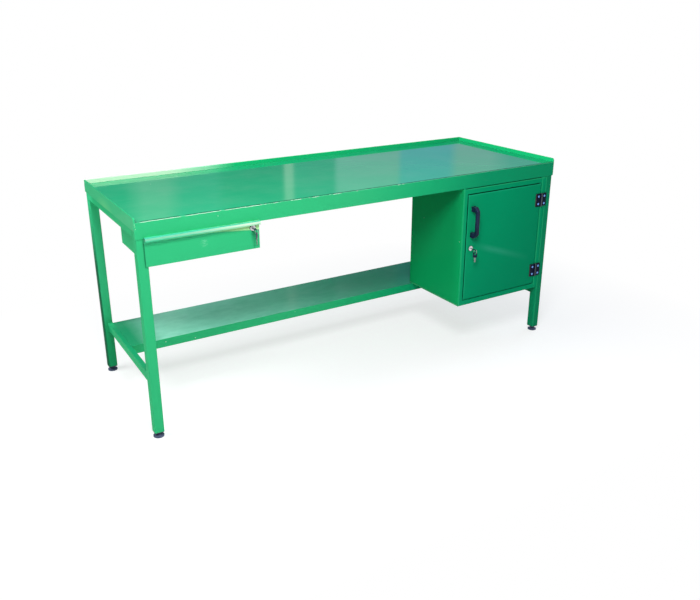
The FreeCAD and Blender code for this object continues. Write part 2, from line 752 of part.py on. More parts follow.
# Door: a folded pan, flush in the face frame
door_x = grown(opening_x, -door_gap)
door_z = grown(opening_z, -door_gap)
door_y = (cupboard_y[0], cupboard_y[0] + door_depth)
door_skin_back = door_y[0] + door_sheet


def make_door():
    pan = eased_front(block(door_x, door_y, door_z), door_bend)
    cavity = block(grown(door_x, -door_sheet), (door_skin_back, door_y[1] - door_sheet),
                   grown(door_z, -door_sheet))
    mouth = block(grown(door_x, -door_flange), (door_skin_back, door_y[1] + overrun),
                  grown(door_z, -door_flange))
    return pan.cut([cavity, mouth])


parts["door"] = make_door()

# Hinges: two leaves with interleaved knuckles on one pin, fixed on the face of the door
hinge_x = opening_x[1] + door_gap
hinge_axis_y = cupboard_y[0] - hinge_axis_height
hinge_centres = {
    "upper": opening_z[1] - hinge_end_offset,
    "lower": opening_z[0] + hinge_lower_offset,
}
barrel = hinge_barrel_diameter / 2
knuckle_z = (-hinge_height / 4, hinge_height / 4)


def make_leaf(side, centre_z, spans):
    """Hinge leaf on one side of the axis, with a knuckle over each of its height spans."""
    inner_x = hinge_x + side * (barrel + hinge_knuckle_gap)
    outer_x = hinge_x + side * hinge_width / 2
    leaf_x = (min(inner_x, outer_x), max(inner_x, outer_x))
    leaf_y = (cupboard_y[0] - hinge_leaf, cupboard_y[0])
    plate = block(leaf_x, leaf_y, (-hinge_height / 2, hinge_height / 2))
    rim = [edge for edge in edges_along(plate, Y_AXIS) if abs(edge.Vertexes[0].X - outer_x) < hinge_edge]
    plate = plate.makeChamfer(hinge_corner, rim)
    front = [edge for edge in plate.Edges
             if all(abs(vertex.Y - leaf_y[0]) < hinge_edge / 10 for vertex in edge.Vertexes)
             and abs(edge.CenterOfMass.x - inner_x) > hinge_edge / 10]
    plate = plate.makeChamfer(hinge_edge, front)
    knuckles = []
    for low, high in spans:
        length = high - low
        knuckles.append(rod(V(hinge_x, hinge_axis_y, low), Z_AXIS, barrel, length))
        tongue_x = sorted((hinge_x, inner_x + side * hinge_edge))
        tongue_y = (leaf_y[0] + hinge_edge, leaf_y[1] - hinge_knuckle_gap)
        knuckles.append(block(tongue_x, tongue_y, (low, high)))
    leaf = plate.fuse(knuckles)
    bore = hinge_pin_diameter / 2
    if len(spans) == 1:
        bore += hinge_pin_clearance
    leaf = leaf.cut(rod(V(hinge_x, hinge_axis_y, -hinge_height), Z_AXIS, bore, 2 * hinge_height))
    leaf.translate(V(0, 0, centre_z))
    return leaf.removeSplitter()


frame_spans = [(-hinge_height / 2, knuckle_z[0]), (knuckle_z[1], hinge_height / 2)]
door_spans = [(knuckle_z[0] + hinge_knuckle_gap, knuckle_z[1] - hinge_knuckle_gap)]
parts["hinge_leaves_frame"] = Part.makeCompound([make_leaf(1, centre_z, frame_spans)
                                                 for centre_z in hinge_centres.values()])
parts["hinge_leaves_door"] = Part.makeCompound([make_leaf(-1, centre_z, door_spans)
                                                for centre_z in hinge_centres.values()])
parts["hinge_pins"] = Part.makeCompound([rod(V(hinge_x, hinge_axis_y, centre_z - hinge_height / 2), Z_AXIS,
                                             hinge_pin_diameter / 2, hinge_height)
                                         for centre_z in hinge_centres.values()])

# Bow handle on the door
handle_x = door_x[0] + handle_from_door_edge
handle_middle_z = door_z[1] - handle_below_door_top
handle_half = handle_pitch / 2 + handle_foot_length / 2


def make_handle():
    """Moulded bow handle: the common part of its side outline and its waisted front outline."""
    reach = -handle_standoff
    bar_back = reach + handle_bar
    inner = handle_half - handle_foot_length
    shoulder = handle_half - handle_shoulder
    side_points = [
        (0, handle_half), (reach + handle_shoulder, handle_half), (reach, shoulder),
        (reach, -shoulder), (reach + handle_shoulder, -handle_half), (0, -handle_half),
        (0, -inner), (bar_back + handle_bar / 2, -inner), (bar_back, -inner + handle_bar / 2),
        (bar_back, inner - handle_bar / 2), (bar_back + handle_bar / 2, inner), (0, inner)]
    corners = [V(-handle_width, y, z) for y, z in side_points]
    side = Part.Face(Part.makePolygon(corners + corners[:1])).extrude(X_AXIS * 2 * handle_width)
    wide = handle_width / 2
    waist = handle_waist / 2
    top = handle_half
    front_points = [(-wide, top), (wide, top), (waist, shoulder), (waist, -shoulder), (wide, -top),
                    (-wide, -top), (-waist, -shoulder), (-waist, shoulder)]
    corners = [V(x, overrun, z) for x, z in front_points]
    front = Part.Face(Part.makePolygon(corners + corners[:1])).extrude(
        -Y_AXIS * (handle_standoff + 2 * overrun))
    handle = side.common(front)
    outer_edges = [edge for edge in handle.Edges
                   if any(vertex.Y < bar_back - handle_edge for vertex in edge.Vertexes)
                   and edge.BoundBox.XLength < handle_waist / 2]
    handle = handle.makeChamfer(handle_edge, outer_edges)
    handle.translate(V(handle_x, door_y[0], handle_middle_z))
    return handle


parts["door_handle"] = make_handle()

# Door lock: its cam hangs down at rest and turns out behind the jamb
door_lock_centre = V(door_x[0] + door_lock_from_edge, door_y[0], handle_middle_z - door_lock_below_handle)
make_lock("door", door_lock_centre, door_lock_length, door_sheet, 90, door_cam_length, door_key_angles)
punch_lock_hole("door", door_lock_centre, door_sheet)

for name, shape in parts.items():
    shape.exportStep("parts/" + name + ".step")
    print(name, len(shape.Solids), shape.isValid(), round(shape.Volume))
print(len(parts), "nodes")
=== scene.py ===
"""Looks of a green steel workbench: paint, hardware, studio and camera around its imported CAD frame.

Everything is in metres, with +Z up, +X along the bench to the cupboard and the front facing -Y.
"""

import json
import math

import bpy
from mathutils import Matrix, Vector

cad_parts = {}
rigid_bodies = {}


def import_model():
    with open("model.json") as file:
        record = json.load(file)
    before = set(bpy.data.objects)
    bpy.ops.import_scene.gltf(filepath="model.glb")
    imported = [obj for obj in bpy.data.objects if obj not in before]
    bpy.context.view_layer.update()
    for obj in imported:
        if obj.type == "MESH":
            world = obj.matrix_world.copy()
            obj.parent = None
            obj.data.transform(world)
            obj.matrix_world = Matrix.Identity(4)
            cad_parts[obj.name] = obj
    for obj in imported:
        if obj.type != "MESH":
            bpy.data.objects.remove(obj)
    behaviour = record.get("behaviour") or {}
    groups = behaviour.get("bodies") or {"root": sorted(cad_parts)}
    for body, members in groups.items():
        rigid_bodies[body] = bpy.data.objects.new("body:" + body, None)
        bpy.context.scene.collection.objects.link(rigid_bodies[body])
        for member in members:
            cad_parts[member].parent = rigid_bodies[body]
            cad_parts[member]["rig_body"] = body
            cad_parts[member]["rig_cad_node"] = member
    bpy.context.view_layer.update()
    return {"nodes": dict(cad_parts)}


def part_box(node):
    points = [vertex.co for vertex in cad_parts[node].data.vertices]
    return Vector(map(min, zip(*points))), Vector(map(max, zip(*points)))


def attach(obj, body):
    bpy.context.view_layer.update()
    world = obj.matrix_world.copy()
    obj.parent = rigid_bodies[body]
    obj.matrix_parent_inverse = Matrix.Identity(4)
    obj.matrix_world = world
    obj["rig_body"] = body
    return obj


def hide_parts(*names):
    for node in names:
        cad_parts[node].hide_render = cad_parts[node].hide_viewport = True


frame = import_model()
nodes = frame["nodes"]

MM = 0.001

# Camera, as found from the photograph
PHOTO_WIDTH = 700
PHOTO_HEIGHT = 600
SENSOR_WIDTH = 36.0
FOCAL_PIXELS = 755.18
PRINCIPAL_POINT = (340.885, 282.789)
CAMERA_PLACE = Vector((-1.6707, -2.8395, 1.5740))
CAMERA_TARGET = Vector((0.0255, 0.0, 0.3381))
CAMERA_ROLL = math.radians(-0.16)

# Green paint: on level faces, then on upright ones from the cupboard's end to the drawer's, darker to lighter as
# painted shade and light
PAINT_GREEN = (0.004, 0.345, 0.135, 1.0)
PAINT_SHADED = (0.001, 0.300, 0.124, 1.0)
PAINT_HALF_LIT = (0.010, 0.395, 0.150, 1.0)
PAINT_LIT = (0.028, 0.430, 0.165, 1.0)
SHADED_FROM_X = 0.66
LIT_FROM_X = 0.0

# Colours of the marks on it, and of the light and shade painted on it
PRIMER = (0.78, 0.82, 0.74, 1.0)
EDGE_HIGHLIGHT = (0.10, 0.62, 0.36, 1.0)
SCRATCH = (0.10, 0.50, 0.27, 1.0)
RUBBED_PATCH = (0.40, 0.80, 0.58, 1.0)
DUST = (0.40, 0.50, 0.43, 1.0)
SHELF_PALE = (0.36, 0.86, 0.68, 1.0)
SHELF_SHADE = (0.004, 0.150, 0.110, 1.0)
PAINTED_SHEEN = (0.26, 0.62, 0.42, 1.0)
KHAKI = (0.36, 0.80, 0.26, 1.0)
BARE_AND_LIT_FOLD = (0.62, 0.74, 0.62, 1.0)
UPSTAND_LIT = (0.010, 0.500, 0.180, 1.0)
HALF_GLARE = (0.20, 0.70, 0.42, 1.0)
UPSTAND_GLARE = (0.60, 0.84, 0.60, 1.0)
PULL_LEFT = (0.07, 0.50, 0.27, 1.0)
PULL_RIGHT = (0.36, 0.66, 0.42, 1.0)
PULL_STREAK_LEFT = (0.26, 0.58, 0.38, 1.0)
PULL_STREAK_RIGHT = (0.66, 0.80, 0.62, 1.0)
PULL_RIM = (0.07, 0.48, 0.34, 1.0)
LIT_SHEET = (0.10, 0.95, 0.44, 1.0)
LIT_WEDGE = (0.50, 0.95, 0.40, 1.0)
KEY_SHADE = (0.004, 0.180, 0.070, 1.0)
PAINTED_SHADE_LINE = (0.002, 0.055, 0.026, 1.0)
GAP_SHADE = (0.0, 0.020, 0.010, 1.0)
CUPBOARD_BEND_HIGHLIGHT = (0.020, 0.46, 0.17, 1.0)
SIDE_SHADED_HIGH = (0.001, 0.240, 0.074, 1.0)
SIDE_LIT_LOW = (0.004, 0.345, 0.106, 1.0)
SIDE_LIT_FRONT = (0.006, 0.430, 0.135, 1.0)
DOOR_BEND_HIGHLIGHT = (0.014, 0.46, 0.22, 1.0)
DOOR_SHADE = (0.0005, 0.215, 0.098, 1.0)
DOOR_SHEEN = (0.10, 0.52, 0.42, 1.0)
LEG_SHADE = (0.0005, 0.185, 0.075, 1.0)
LEG_CORNER_HIGHLIGHT = (0.014, 0.42, 0.16, 1.0)
LEG_SHADED_FOOT = (0.010, 0.320, 0.115, 1.0)
LEG_LIT = (0.045, 0.590, 0.250, 1.0)
LEG_OUTER_SHADE = (0.002, 0.110, 0.045, 1.0)

# Marks, painted highlights and shine of the black plastics and lacquers
KNUCKLE_HIGHLIGHT = (0.085, 0.095, 0.100, 1.0)
LEAF_EDGE_HIGHLIGHT = (0.075, 0.040, 0.045, 1.0)
BLACK_EDGE_HIGHLIGHT = (0.08, 0.10, 0.17, 1.0)
GREY_DUST = (0.24, 0.25, 0.28, 1.0)
COOL_SHINE = (0.55, 0.80, 1.0, 1.0)

# Places on the bench that carry pieces and marks
top_low, top_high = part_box("worktop")
front_low, front_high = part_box("drawer_front")
cupboard_low, cupboard_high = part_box("cupboard")
shelf_low, shelf_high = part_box("lower_shelf")
door_low, door_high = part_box("door")
pins_low, pins_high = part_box("hinge_pins")
spare_low, spare_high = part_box("drawer_spare_key")
leg_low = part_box("leg_front_right")[0]
FRONT_SHEET = 2.0 * MM
UPSTAND = 18 * MM
UPSTAND_HEM = 5.2 * MM
DOOR_GAP = 2 * MM
hinge_x = (pins_low.x + pins_high.x) / 2
surface_z = top_high.z - UPSTAND
fold_y = top_low.y


# Modelling helpers
def select_only(*objects):
    """Leaves just these objects selected, the first of them active."""
    bpy.ops.object.select_all(action="DESELECT")
    for item in objects:
        item.select_set(True)
    bpy.context.view_layer.objects.active = objects[0]


def shade_smooth(piece, degrees=35):
    """Smooth shading over soft edges, with flat faces kept flat up to their rounded edges."""
    select_only(piece)
    bpy.ops.object.shade_smooth_by_angle(angle=math.radians(degrees))
    modifier = piece.modifiers.new("flat_faces", "WEIGHTED_NORMAL")
    modifier.keep_sharp = True
    apply_modifiers(piece)


def settle(piece):
    """Moves a piece's place, turn and scale into its mesh."""
    select_only(piece)
    bpy.ops.object.transform_apply(location=True, rotation=True, scale=True)


def apply_modifiers(piece):
    """Applies all modifiers of a piece, in their order."""
    select_only(piece)
    for modifier in list(piece.modifiers):
        bpy.ops.object.modifier_apply(modifier=modifier.name)


def start_piece(name, add, **settings):
    """Adds a primitive, alone in the selection, with its place already in its mesh."""
    bpy.ops.object.select_all(action="DESELECT")
    add(**settings)
    piece = bpy.context.object
    piece.name = name
    settle(piece)
    return piece


def start_cylinder(name, radius, depth, centre, vertices=32, along_y=False):
    """Adds a cylinder that stands along Z, or lies along Y."""
    turn = (math.radians(90), 0, 0) if along_y else (0, 0, 0)
    return start_piece(name, bpy.ops.mesh.primitive_cylinder_add, vertices=vertices, radius=radius, depth=depth,
                       rotation=turn, location=centre)


def edit_faces(piece, wanted):
    """Opens a piece in edit mode with only the faces selected that pass a test."""
    select_only(piece)
    bpy.ops.object.mode_set(mode="EDIT")
    bpy.ops.mesh.select_mode(type="FACE")
    bpy.ops.mesh.select_all(action="DESELECT")
    bpy.ops.object.mode_set(mode="OBJECT")
    for face in piece.data.polygons:
        face.select = bool(wanted(face))
    bpy.ops.object.mode_set(mode="EDIT")


def finish_edit():
    """Goes back to object mode."""
    bpy.ops.object.mode_set(mode="OBJECT")


def bevel_edges(piece, width, segments, degrees):
    """Rounds every edge of a piece that is sharper than an angle."""
    modifier = piece.modifiers.new("rounding", "BEVEL")
    modifier.width = width
    modifier.segments = segments
    modifier.limit_method = "ANGLE"
    modifier.angle_limit = math.radians(degrees)
    modifier.harden_normals = False
    apply_modifiers(piece)


def cut_away(piece, cutter):
    """Takes the space of a cutter out of a piece and removes the cutter."""
    modifier = piece.modifiers.new("recess", "BOOLEAN")
    modifier.operation = "DIFFERENCE"
    modifier.solver = "EXACT"
    modifier.object = cutter
    apply_modifiers(piece)
    bpy.data.objects.remove(cutter, do_unlink=True)


def copy_moved(piece, name, shift):
    """A copy of a piece with its own mesh, moved by a vector."""
    select_only(piece)
    bpy.ops.object.duplicate()
    twin = bpy.context.object
    twin.name = name
    twin.location = shift
    settle(twin)
    return twin


def join_pieces(name, pieces):
    """Makes one piece of several."""
    select_only(*pieces)
    bpy.ops.object.join()
    whole = bpy.context.object
    whole.name = name
    return whole


def finer_copy(node_name, name, width, segments, degrees):
    """A copy of a CAD node with its triangles merged into faces and its edges rounded."""
    select_only(nodes[node_name])
    bpy.ops.object.duplicate()
    piece = bpy.context.object
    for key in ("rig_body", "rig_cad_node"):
        if key in piece:
            del piece[key]
    piece.parent = None
    piece.name = name
    bpy.ops.object.mode_set(mode="EDIT")
    bpy.ops.mesh.select_all(action="SELECT")
    bpy.ops.mesh.remove_doubles(threshold=0.002 * MM)
    bpy.ops.mesh.customdata_custom_splitnormals_clear()
    bpy.ops.mesh.dissolve_limited(angle_limit=math.radians(0.5))
    finish_edit()
    bevel_edges(piece, width, segments, degrees)
    shade_smooth(piece)
    return piece


def dress(piece, body, finish, slot, *replaced):
    """Gives a piece its finish and the body that it rides on. The slot is not used."""
    piece.data.materials.clear()
    piece.data.materials.append(finish)
    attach(piece, body)
    if replaced:
        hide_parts(*replaced)


# Camera
def make_camera():
    """The photograph's own view."""
    data = bpy.data.cameras.new("camera")
    camera = bpy.data.objects.new("camera", data)
    bpy.context.scene.collection.objects.link(camera)
    data.sensor_width = SENSOR_WIDTH
    data.lens = FOCAL_PIXELS / PHOTO_WIDTH * SENSOR_WIDTH
    data.shift_x = (PHOTO_WIDTH / 2 - PRINCIPAL_POINT[0]) / PHOTO_WIDTH
    data.shift_y = (PRINCIPAL_POINT[1] - PHOTO_HEIGHT / 2) / PHOTO_WIDTH
    data.clip_end = 100
    aim = (CAMERA_TARGET - CAMERA_PLACE).to_track_quat("-Z", "Y").to_matrix().to_4x4()
    camera.matrix_world = Matrix.Translation(CAMERA_PLACE) @ aim @ Matrix.Rotation(CAMERA_ROLL, 4, "Z")
    bpy.context.scene.camera = camera


make_camera()
bpy.context.scene.view_settings.view_transform = "Standard"


# Shader node helpers
class Tree:
    """Short words for building a node tree."""

    def __init__(self, tree):
        self.nodes = tree.nodes
        self.links = tree.links

    def add(self, kind, inputs=None, **settings):
        node = self.nodes.new(kind)
        for key, value in settings.items():
            setattr(node, key, value)
        for key, value in (inputs or {}).items():
            self.feed(value, node.inputs[key])
        return node

    def feed(self, value, socket):
        if isinstance(value, bpy.types.NodeSocket):
            self.links.new(value, socket)
        else:
            socket.default_value = value

    def math(self, operation, a, b=0.0, clamp=False):
        node = self.add("ShaderNodeMath", operation=operation, use_clamp=clamp)
        self.feed(a, node.inputs[0])
        self.feed(b, node.inputs[1])
        return node.outputs[0]

    def both(self, *masks):
        """Masks and amounts multiplied together."""
        whole = masks[0]
        for mask in masks[1:]:
            whole = self.math("MULTIPLY", whole, mask)
        return whole

    def either(self, *masks):
        """The highest of several masks."""
        whole = masks[0]
        for mask in masks[1:]:
            whole = self.math("MAXIMUM", whole, mask)
        return whole

    def noise(self, vector, scale, detail=3.0, roughness=0.5):
        node = self.add("ShaderNodeTexNoise", {"Vector": vector, "Scale": scale, "Detail": detail,
                                               "Roughness": roughness})
        return node.outputs["Fac"]

    def ramp(self, value, low, high, out_low=0.0, out_high=1.0):
        """Straight-line step from one level to another between two values, held beyond them."""
        node = self.add("ShaderNodeMapRange", {"Value": value, "From Min": low, "From Max": high,
                                               "To Min": out_low, "To Max": out_high})
        return node.outputs["Result"]

    def mix(self, factor, a, b, blend="MIX"):
        """Mixed colour. Inputs 6 and 7 and output 2 are the Mix node's sockets for colours."""
        node = self.add("ShaderNodeMix", data_type="RGBA", blend_type=blend)
        self.feed(factor, node.inputs[0])
        self.feed(a, node.inputs[6])
        self.feed(b, node.inputs[7])
        return node.outputs[2]

    def tinted(self, tint, colour, mask, amount=1.0):
        """Lays a colour over a tint, as much as a mask and an amount say."""
        if amount != 1.0:
            mask = self.both(mask, amount)
        return self.mix(mask, tint, colour)

    def axes(self, place):
        return self.add("ShaderNodeSeparateXYZ", {0: place}).outputs

    def stretched(self, place, scale, turn=(0.0, 0.0, 0.0)):
        node = self.add("ShaderNodeMapping", {"Vector": place, "Rotation": turn, "Scale": scale})
        return node.outputs[0]

    def band(self, value, middle, half, soft):
        """Mask that is 1 within half a width of a middle value and fades out over a soft edge."""
        away = self.math("ABSOLUTE", self.math("SUBTRACT", value, middle))
        return self.ramp(away, half + soft, half)

    def distance(self, place, centre):
        return self.add("ShaderNodeVectorMath", {0: place, 1: centre}, operation="DISTANCE").outputs["Value"]

    def spot(self, place, centre, radius, soft):
        """Mask of a round spot about a point."""
        return self.ramp(self.distance(place, centre), radius + soft, radius)


def new_group(name, inputs, outputs):
    """Empty shader node group with named inputs and outputs."""
    group = bpy.data.node_groups.new(name, "ShaderNodeTree")
    for label, kind, default in inputs:
        socket = group.interface.new_socket(label, in_out="INPUT", socket_type=kind)
        if default is not None:
            socket.default_value = default
    for label, kind in outputs:
        group.interface.new_socket(label, in_out="OUTPUT", socket_type=kind)
    tree = Tree(group)
    return group, tree, tree.add("NodeGroupInput").outputs, tree.add("NodeGroupOutput").inputs


def place_group(tree, group, **values):
    """Puts a group in a material with its own values, and gives its outputs."""
    node = tree.add("ShaderNodeGroup", node_tree=group)
    for label, value in values.items():
        tree.feed(value, node.inputs[label])
    return node.outputs


def new_material(name):
    """Material with one Principled surface, its tree, the surface's inputs and the object's own places."""
    material = bpy.data.materials.new(name)
    material.use_nodes = True
    tree = Tree(material.node_tree)
    tree.nodes.clear()
    surface = tree.add("ShaderNodeBsdfPrincipled")
    output = tree.add("ShaderNodeOutputMaterial")
    tree.links.new(surface.outputs[0], output.inputs[0])
    place = tree.add("ShaderNodeTexCoord").outputs["Object"]
    return material, tree, surface.inputs, place


# Effects that several finishes share
def make_coat_group():
    """Powder coat: soft cloudy shade, orange peel and a little unevenness in the gloss."""
    group, tree, given, out = new_group(
        "powder_coat",
        [("Place", "NodeSocketVector", None), ("Cloud", "NodeSocketFloat", 0.06), ("Peel", "NodeSocketFloat", 0.5)],
        [("Shade", "NodeSocketFloat"), ("Gloss", "NodeSocketFloat"), ("Height", "NodeSocketFloat")])
    clouds = tree.noise(given["Place"], 5.0, 4.0)
    spread = tree.both(tree.math("SUBTRACT", clouds, 0.5), given["Cloud"])
    tree.feed(tree.math("ADD", spread, 1.0), out["Shade"])
    tree.feed(tree.noise(given["Place"], 18.0, 5.0), out["Gloss"])
    tree.feed(tree.both(tree.noise(given["Place"], 320.0, 2.0), given["Peel"]), out["Height"])
    return group


def make_scratch_group():
    """Fine scratches: long thin lines in two directions, gathered in patches."""
    group, tree, given, out = new_group(
        "fine_scratches",
        [("Place", "NodeSocketVector", None), ("Density", "NodeSocketFloat", 0.5)],
        [("Mask", "NodeSocketFloat")])
    lines = []
    for turn, stretch in ((0.35, (6.0, 420.0, 60.0)), (-0.8, (9.0, 520.0, 60.0))):
        highlight_streak = tree.noise(tree.stretched(given["Place"], stretch, (0.0, 0.0, turn)), 1.0, 1.0)
        lines.append(tree.ramp(highlight_streak, 0.70, 0.74))
    patches = tree.ramp(tree.noise(given["Place"], 3.0, 2.0), 0.62, 0.42)
    tree.feed(tree.both(tree.either(*lines), patches, given["Density"]), out["Mask"])
    return group


def make_wear_group():
    """Edges and corners: a mask of them all, and one of the spots where they are worn through."""
    group, tree, given, out = new_group(
        "edge_wear",
        [("Place", "NodeSocketVector", None), ("Width", "NodeSocketFloat", 0.0015),
         ("Amount", "NodeSocketFloat", 0.5)],
        [("Edge", "NodeSocketFloat"), ("Mask", "NodeSocketFloat")])
    # Near an edge, the rounded normal turns away from the flat one.
    bevel = tree.add("ShaderNodeBevel", {"Radius": given["Width"]}, samples=4)
    flat = tree.add("ShaderNodeNewGeometry").outputs["Normal"]
    facing = tree.add("ShaderNodeVectorMath", {0: bevel.outputs[0], 1: flat}, operation="DOT_PRODUCT")
    edge = tree.ramp(facing.outputs["Value"], 0.995, 0.90)
    broken = tree.noise(given["Place"], 70.0, 6.0, 0.65)
    level = tree.math("SUBTRACT", 0.80, tree.both(given["Amount"], 0.4))
    worn = tree.ramp(tree.math("SUBTRACT", broken, level), 0.0, 0.03)
    tree.feed(edge, out["Edge"])
    tree.feed(tree.both(edge, worn), out["Mask"])
    return group


def make_dust_group():
    """Thin dust on faces that look up."""
    group, tree, given, out = new_group(
        "settled_dust",
        [("Place", "NodeSocketVector", None), ("Amount", "NodeSocketFloat", 0.2)],
        [("Mask", "NodeSocketFloat")])
    normal = tree.add("ShaderNodeNewGeometry").outputs["Normal"]
    level = tree.ramp(tree.axes(normal)[2], 0.6, 1.0)
    grains = tree.math("ADD", tree.both(tree.noise(given["Place"], 900.0, 2.0), 0.5),
                       tree.both(tree.noise(given["Place"], 7.0, 4.0), 0.5))
    grit = tree.ramp(grains, 0.45, 0.75)
    tree.feed(tree.both(grit, level, given["Amount"]), out["Mask"])
    return group


coat_group = make_coat_group()
scratch_group = make_scratch_group()
wear_group = make_wear_group()
dust_group = make_dust_group()


# Green paint, and what marks it in each place
def make_green_paint(name, roughness, peel, wear, dust, scratches, coat, marks=None):
    """Glossy green powder coat over primer, with the marks and the painted light and shade of one part of the bench.

    Coat gives the clear shine on upright faces and on level ones.
    """
    material, tree, surface, place = new_material(name)
    coat_skin = place_group(tree, coat_group, Place=place, Cloud=0.10, Peel=peel)
    worn = place_group(tree, wear_group, Place=place, Width=1.2 * MM, Amount=wear)
    dirt = place_group(tree, dust_group, Place=place, Amount=dust)
    lines = place_group(tree, scratch_group, Place=place, Density=scratches)
    upward = tree.ramp(tree.axes(tree.add("ShaderNodeNewGeometry").outputs["Normal"])[2], 0.6, 0.95)
    # Upright faces are painted darker at the cupboard end and lighter at the drawer end, as painted shade and light.
    along = tree.math("ADD", tree.axes(place)[0], tree.both(tree.noise(place, 2.0, 2.0), 0.2))
    falloff = tree.ramp(along, SHADED_FROM_X, LIT_FROM_X)
    upright = tree.mix(tree.ramp(falloff, 0.0, 0.5), PAINT_SHADED, PAINT_HALF_LIT)
    upright = tree.mix(tree.ramp(falloff, 0.5, 1.0), upright, PAINT_LIT)
    tint = tree.mix(upward, upright, PAINT_GREEN)
    tint = tree.mix(1.0, tint, coat_skin["Shade"], "MULTIPLY")
    # Every edge is painted a little paler, a painted highlight.
    tint = tree.tinted(tint, EDGE_HIGHLIGHT, worn["Edge"], 0.16)
    tint = tree.tinted(tint, SCRATCH, tree.both(lines["Mask"], tree.ramp(upward, 0.0, 1.0, 0.2, 1.0)))
    tint = tree.tinted(tint, DUST, dirt["Mask"])
    tint = tree.tinted(tint, PRIMER, worn["Mask"])
    gloss = tree.ramp(coat_skin["Gloss"], 0.35, 0.65, roughness * 0.85, roughness * 1.2)
    rough = tree.math("ADD", gloss, tree.both(dirt["Mask"], 0.35))
    rough = tree.math("ADD", rough, tree.both(worn["Mask"], 0.4), clamp=True)
    shine = tree.both(tree.ramp(upward, 0.0, 1.0, coat[0], coat[1]), tree.math("SUBTRACT", 1.0, worn["Mask"]))
    look = {"tint": tint, "shine": shine}
    if marks:
        marks(tree, place, look)
    tree.feed(look["tint"], surface["Base Color"])
    tree.feed(rough, surface["Roughness"])
    tree.feed(look["shine"], surface["Coat Weight"])
    bump = tree.add("ShaderNodeBump", {"Height": coat_skin["Height"], "Strength": 0.08, "Distance": 0.3 * MM})
    tree.feed(bump.outputs[0], surface["Normal"])
    surface["Coat Roughness"].default_value = roughness * 0.8
    surface["Specular IOR Level"].default_value = 0.0
    return material


def chips(tree, place, look, spots):
    """Small ragged chips down to the primer, each given by its centre and radius."""
    ragged = tree.both(tree.math("SUBTRACT", tree.noise(place, 900.0, 3.0), 0.5), 2.4 * MM)
    for centre, radius in spots:
        away = tree.math("ADD", tree.distance(place, centre), ragged)
        chip = tree.ramp(away, radius + 0.3 * MM, radius)
        look["tint"] = tree.tinted(look["tint"], PRIMER, chip)
        look["shine"] = tree.both(look["shine"], tree.math("SUBTRACT", 1.0, chip))


# Long dashes on the worktop's front fold, each by its middle and half its length, and where they end
LONG_DASHES = [(-0.9025, 68 * MM), (-0.7445, 62 * MM), (-0.5860, 70 * MM)]
DASHES_END = -0.50


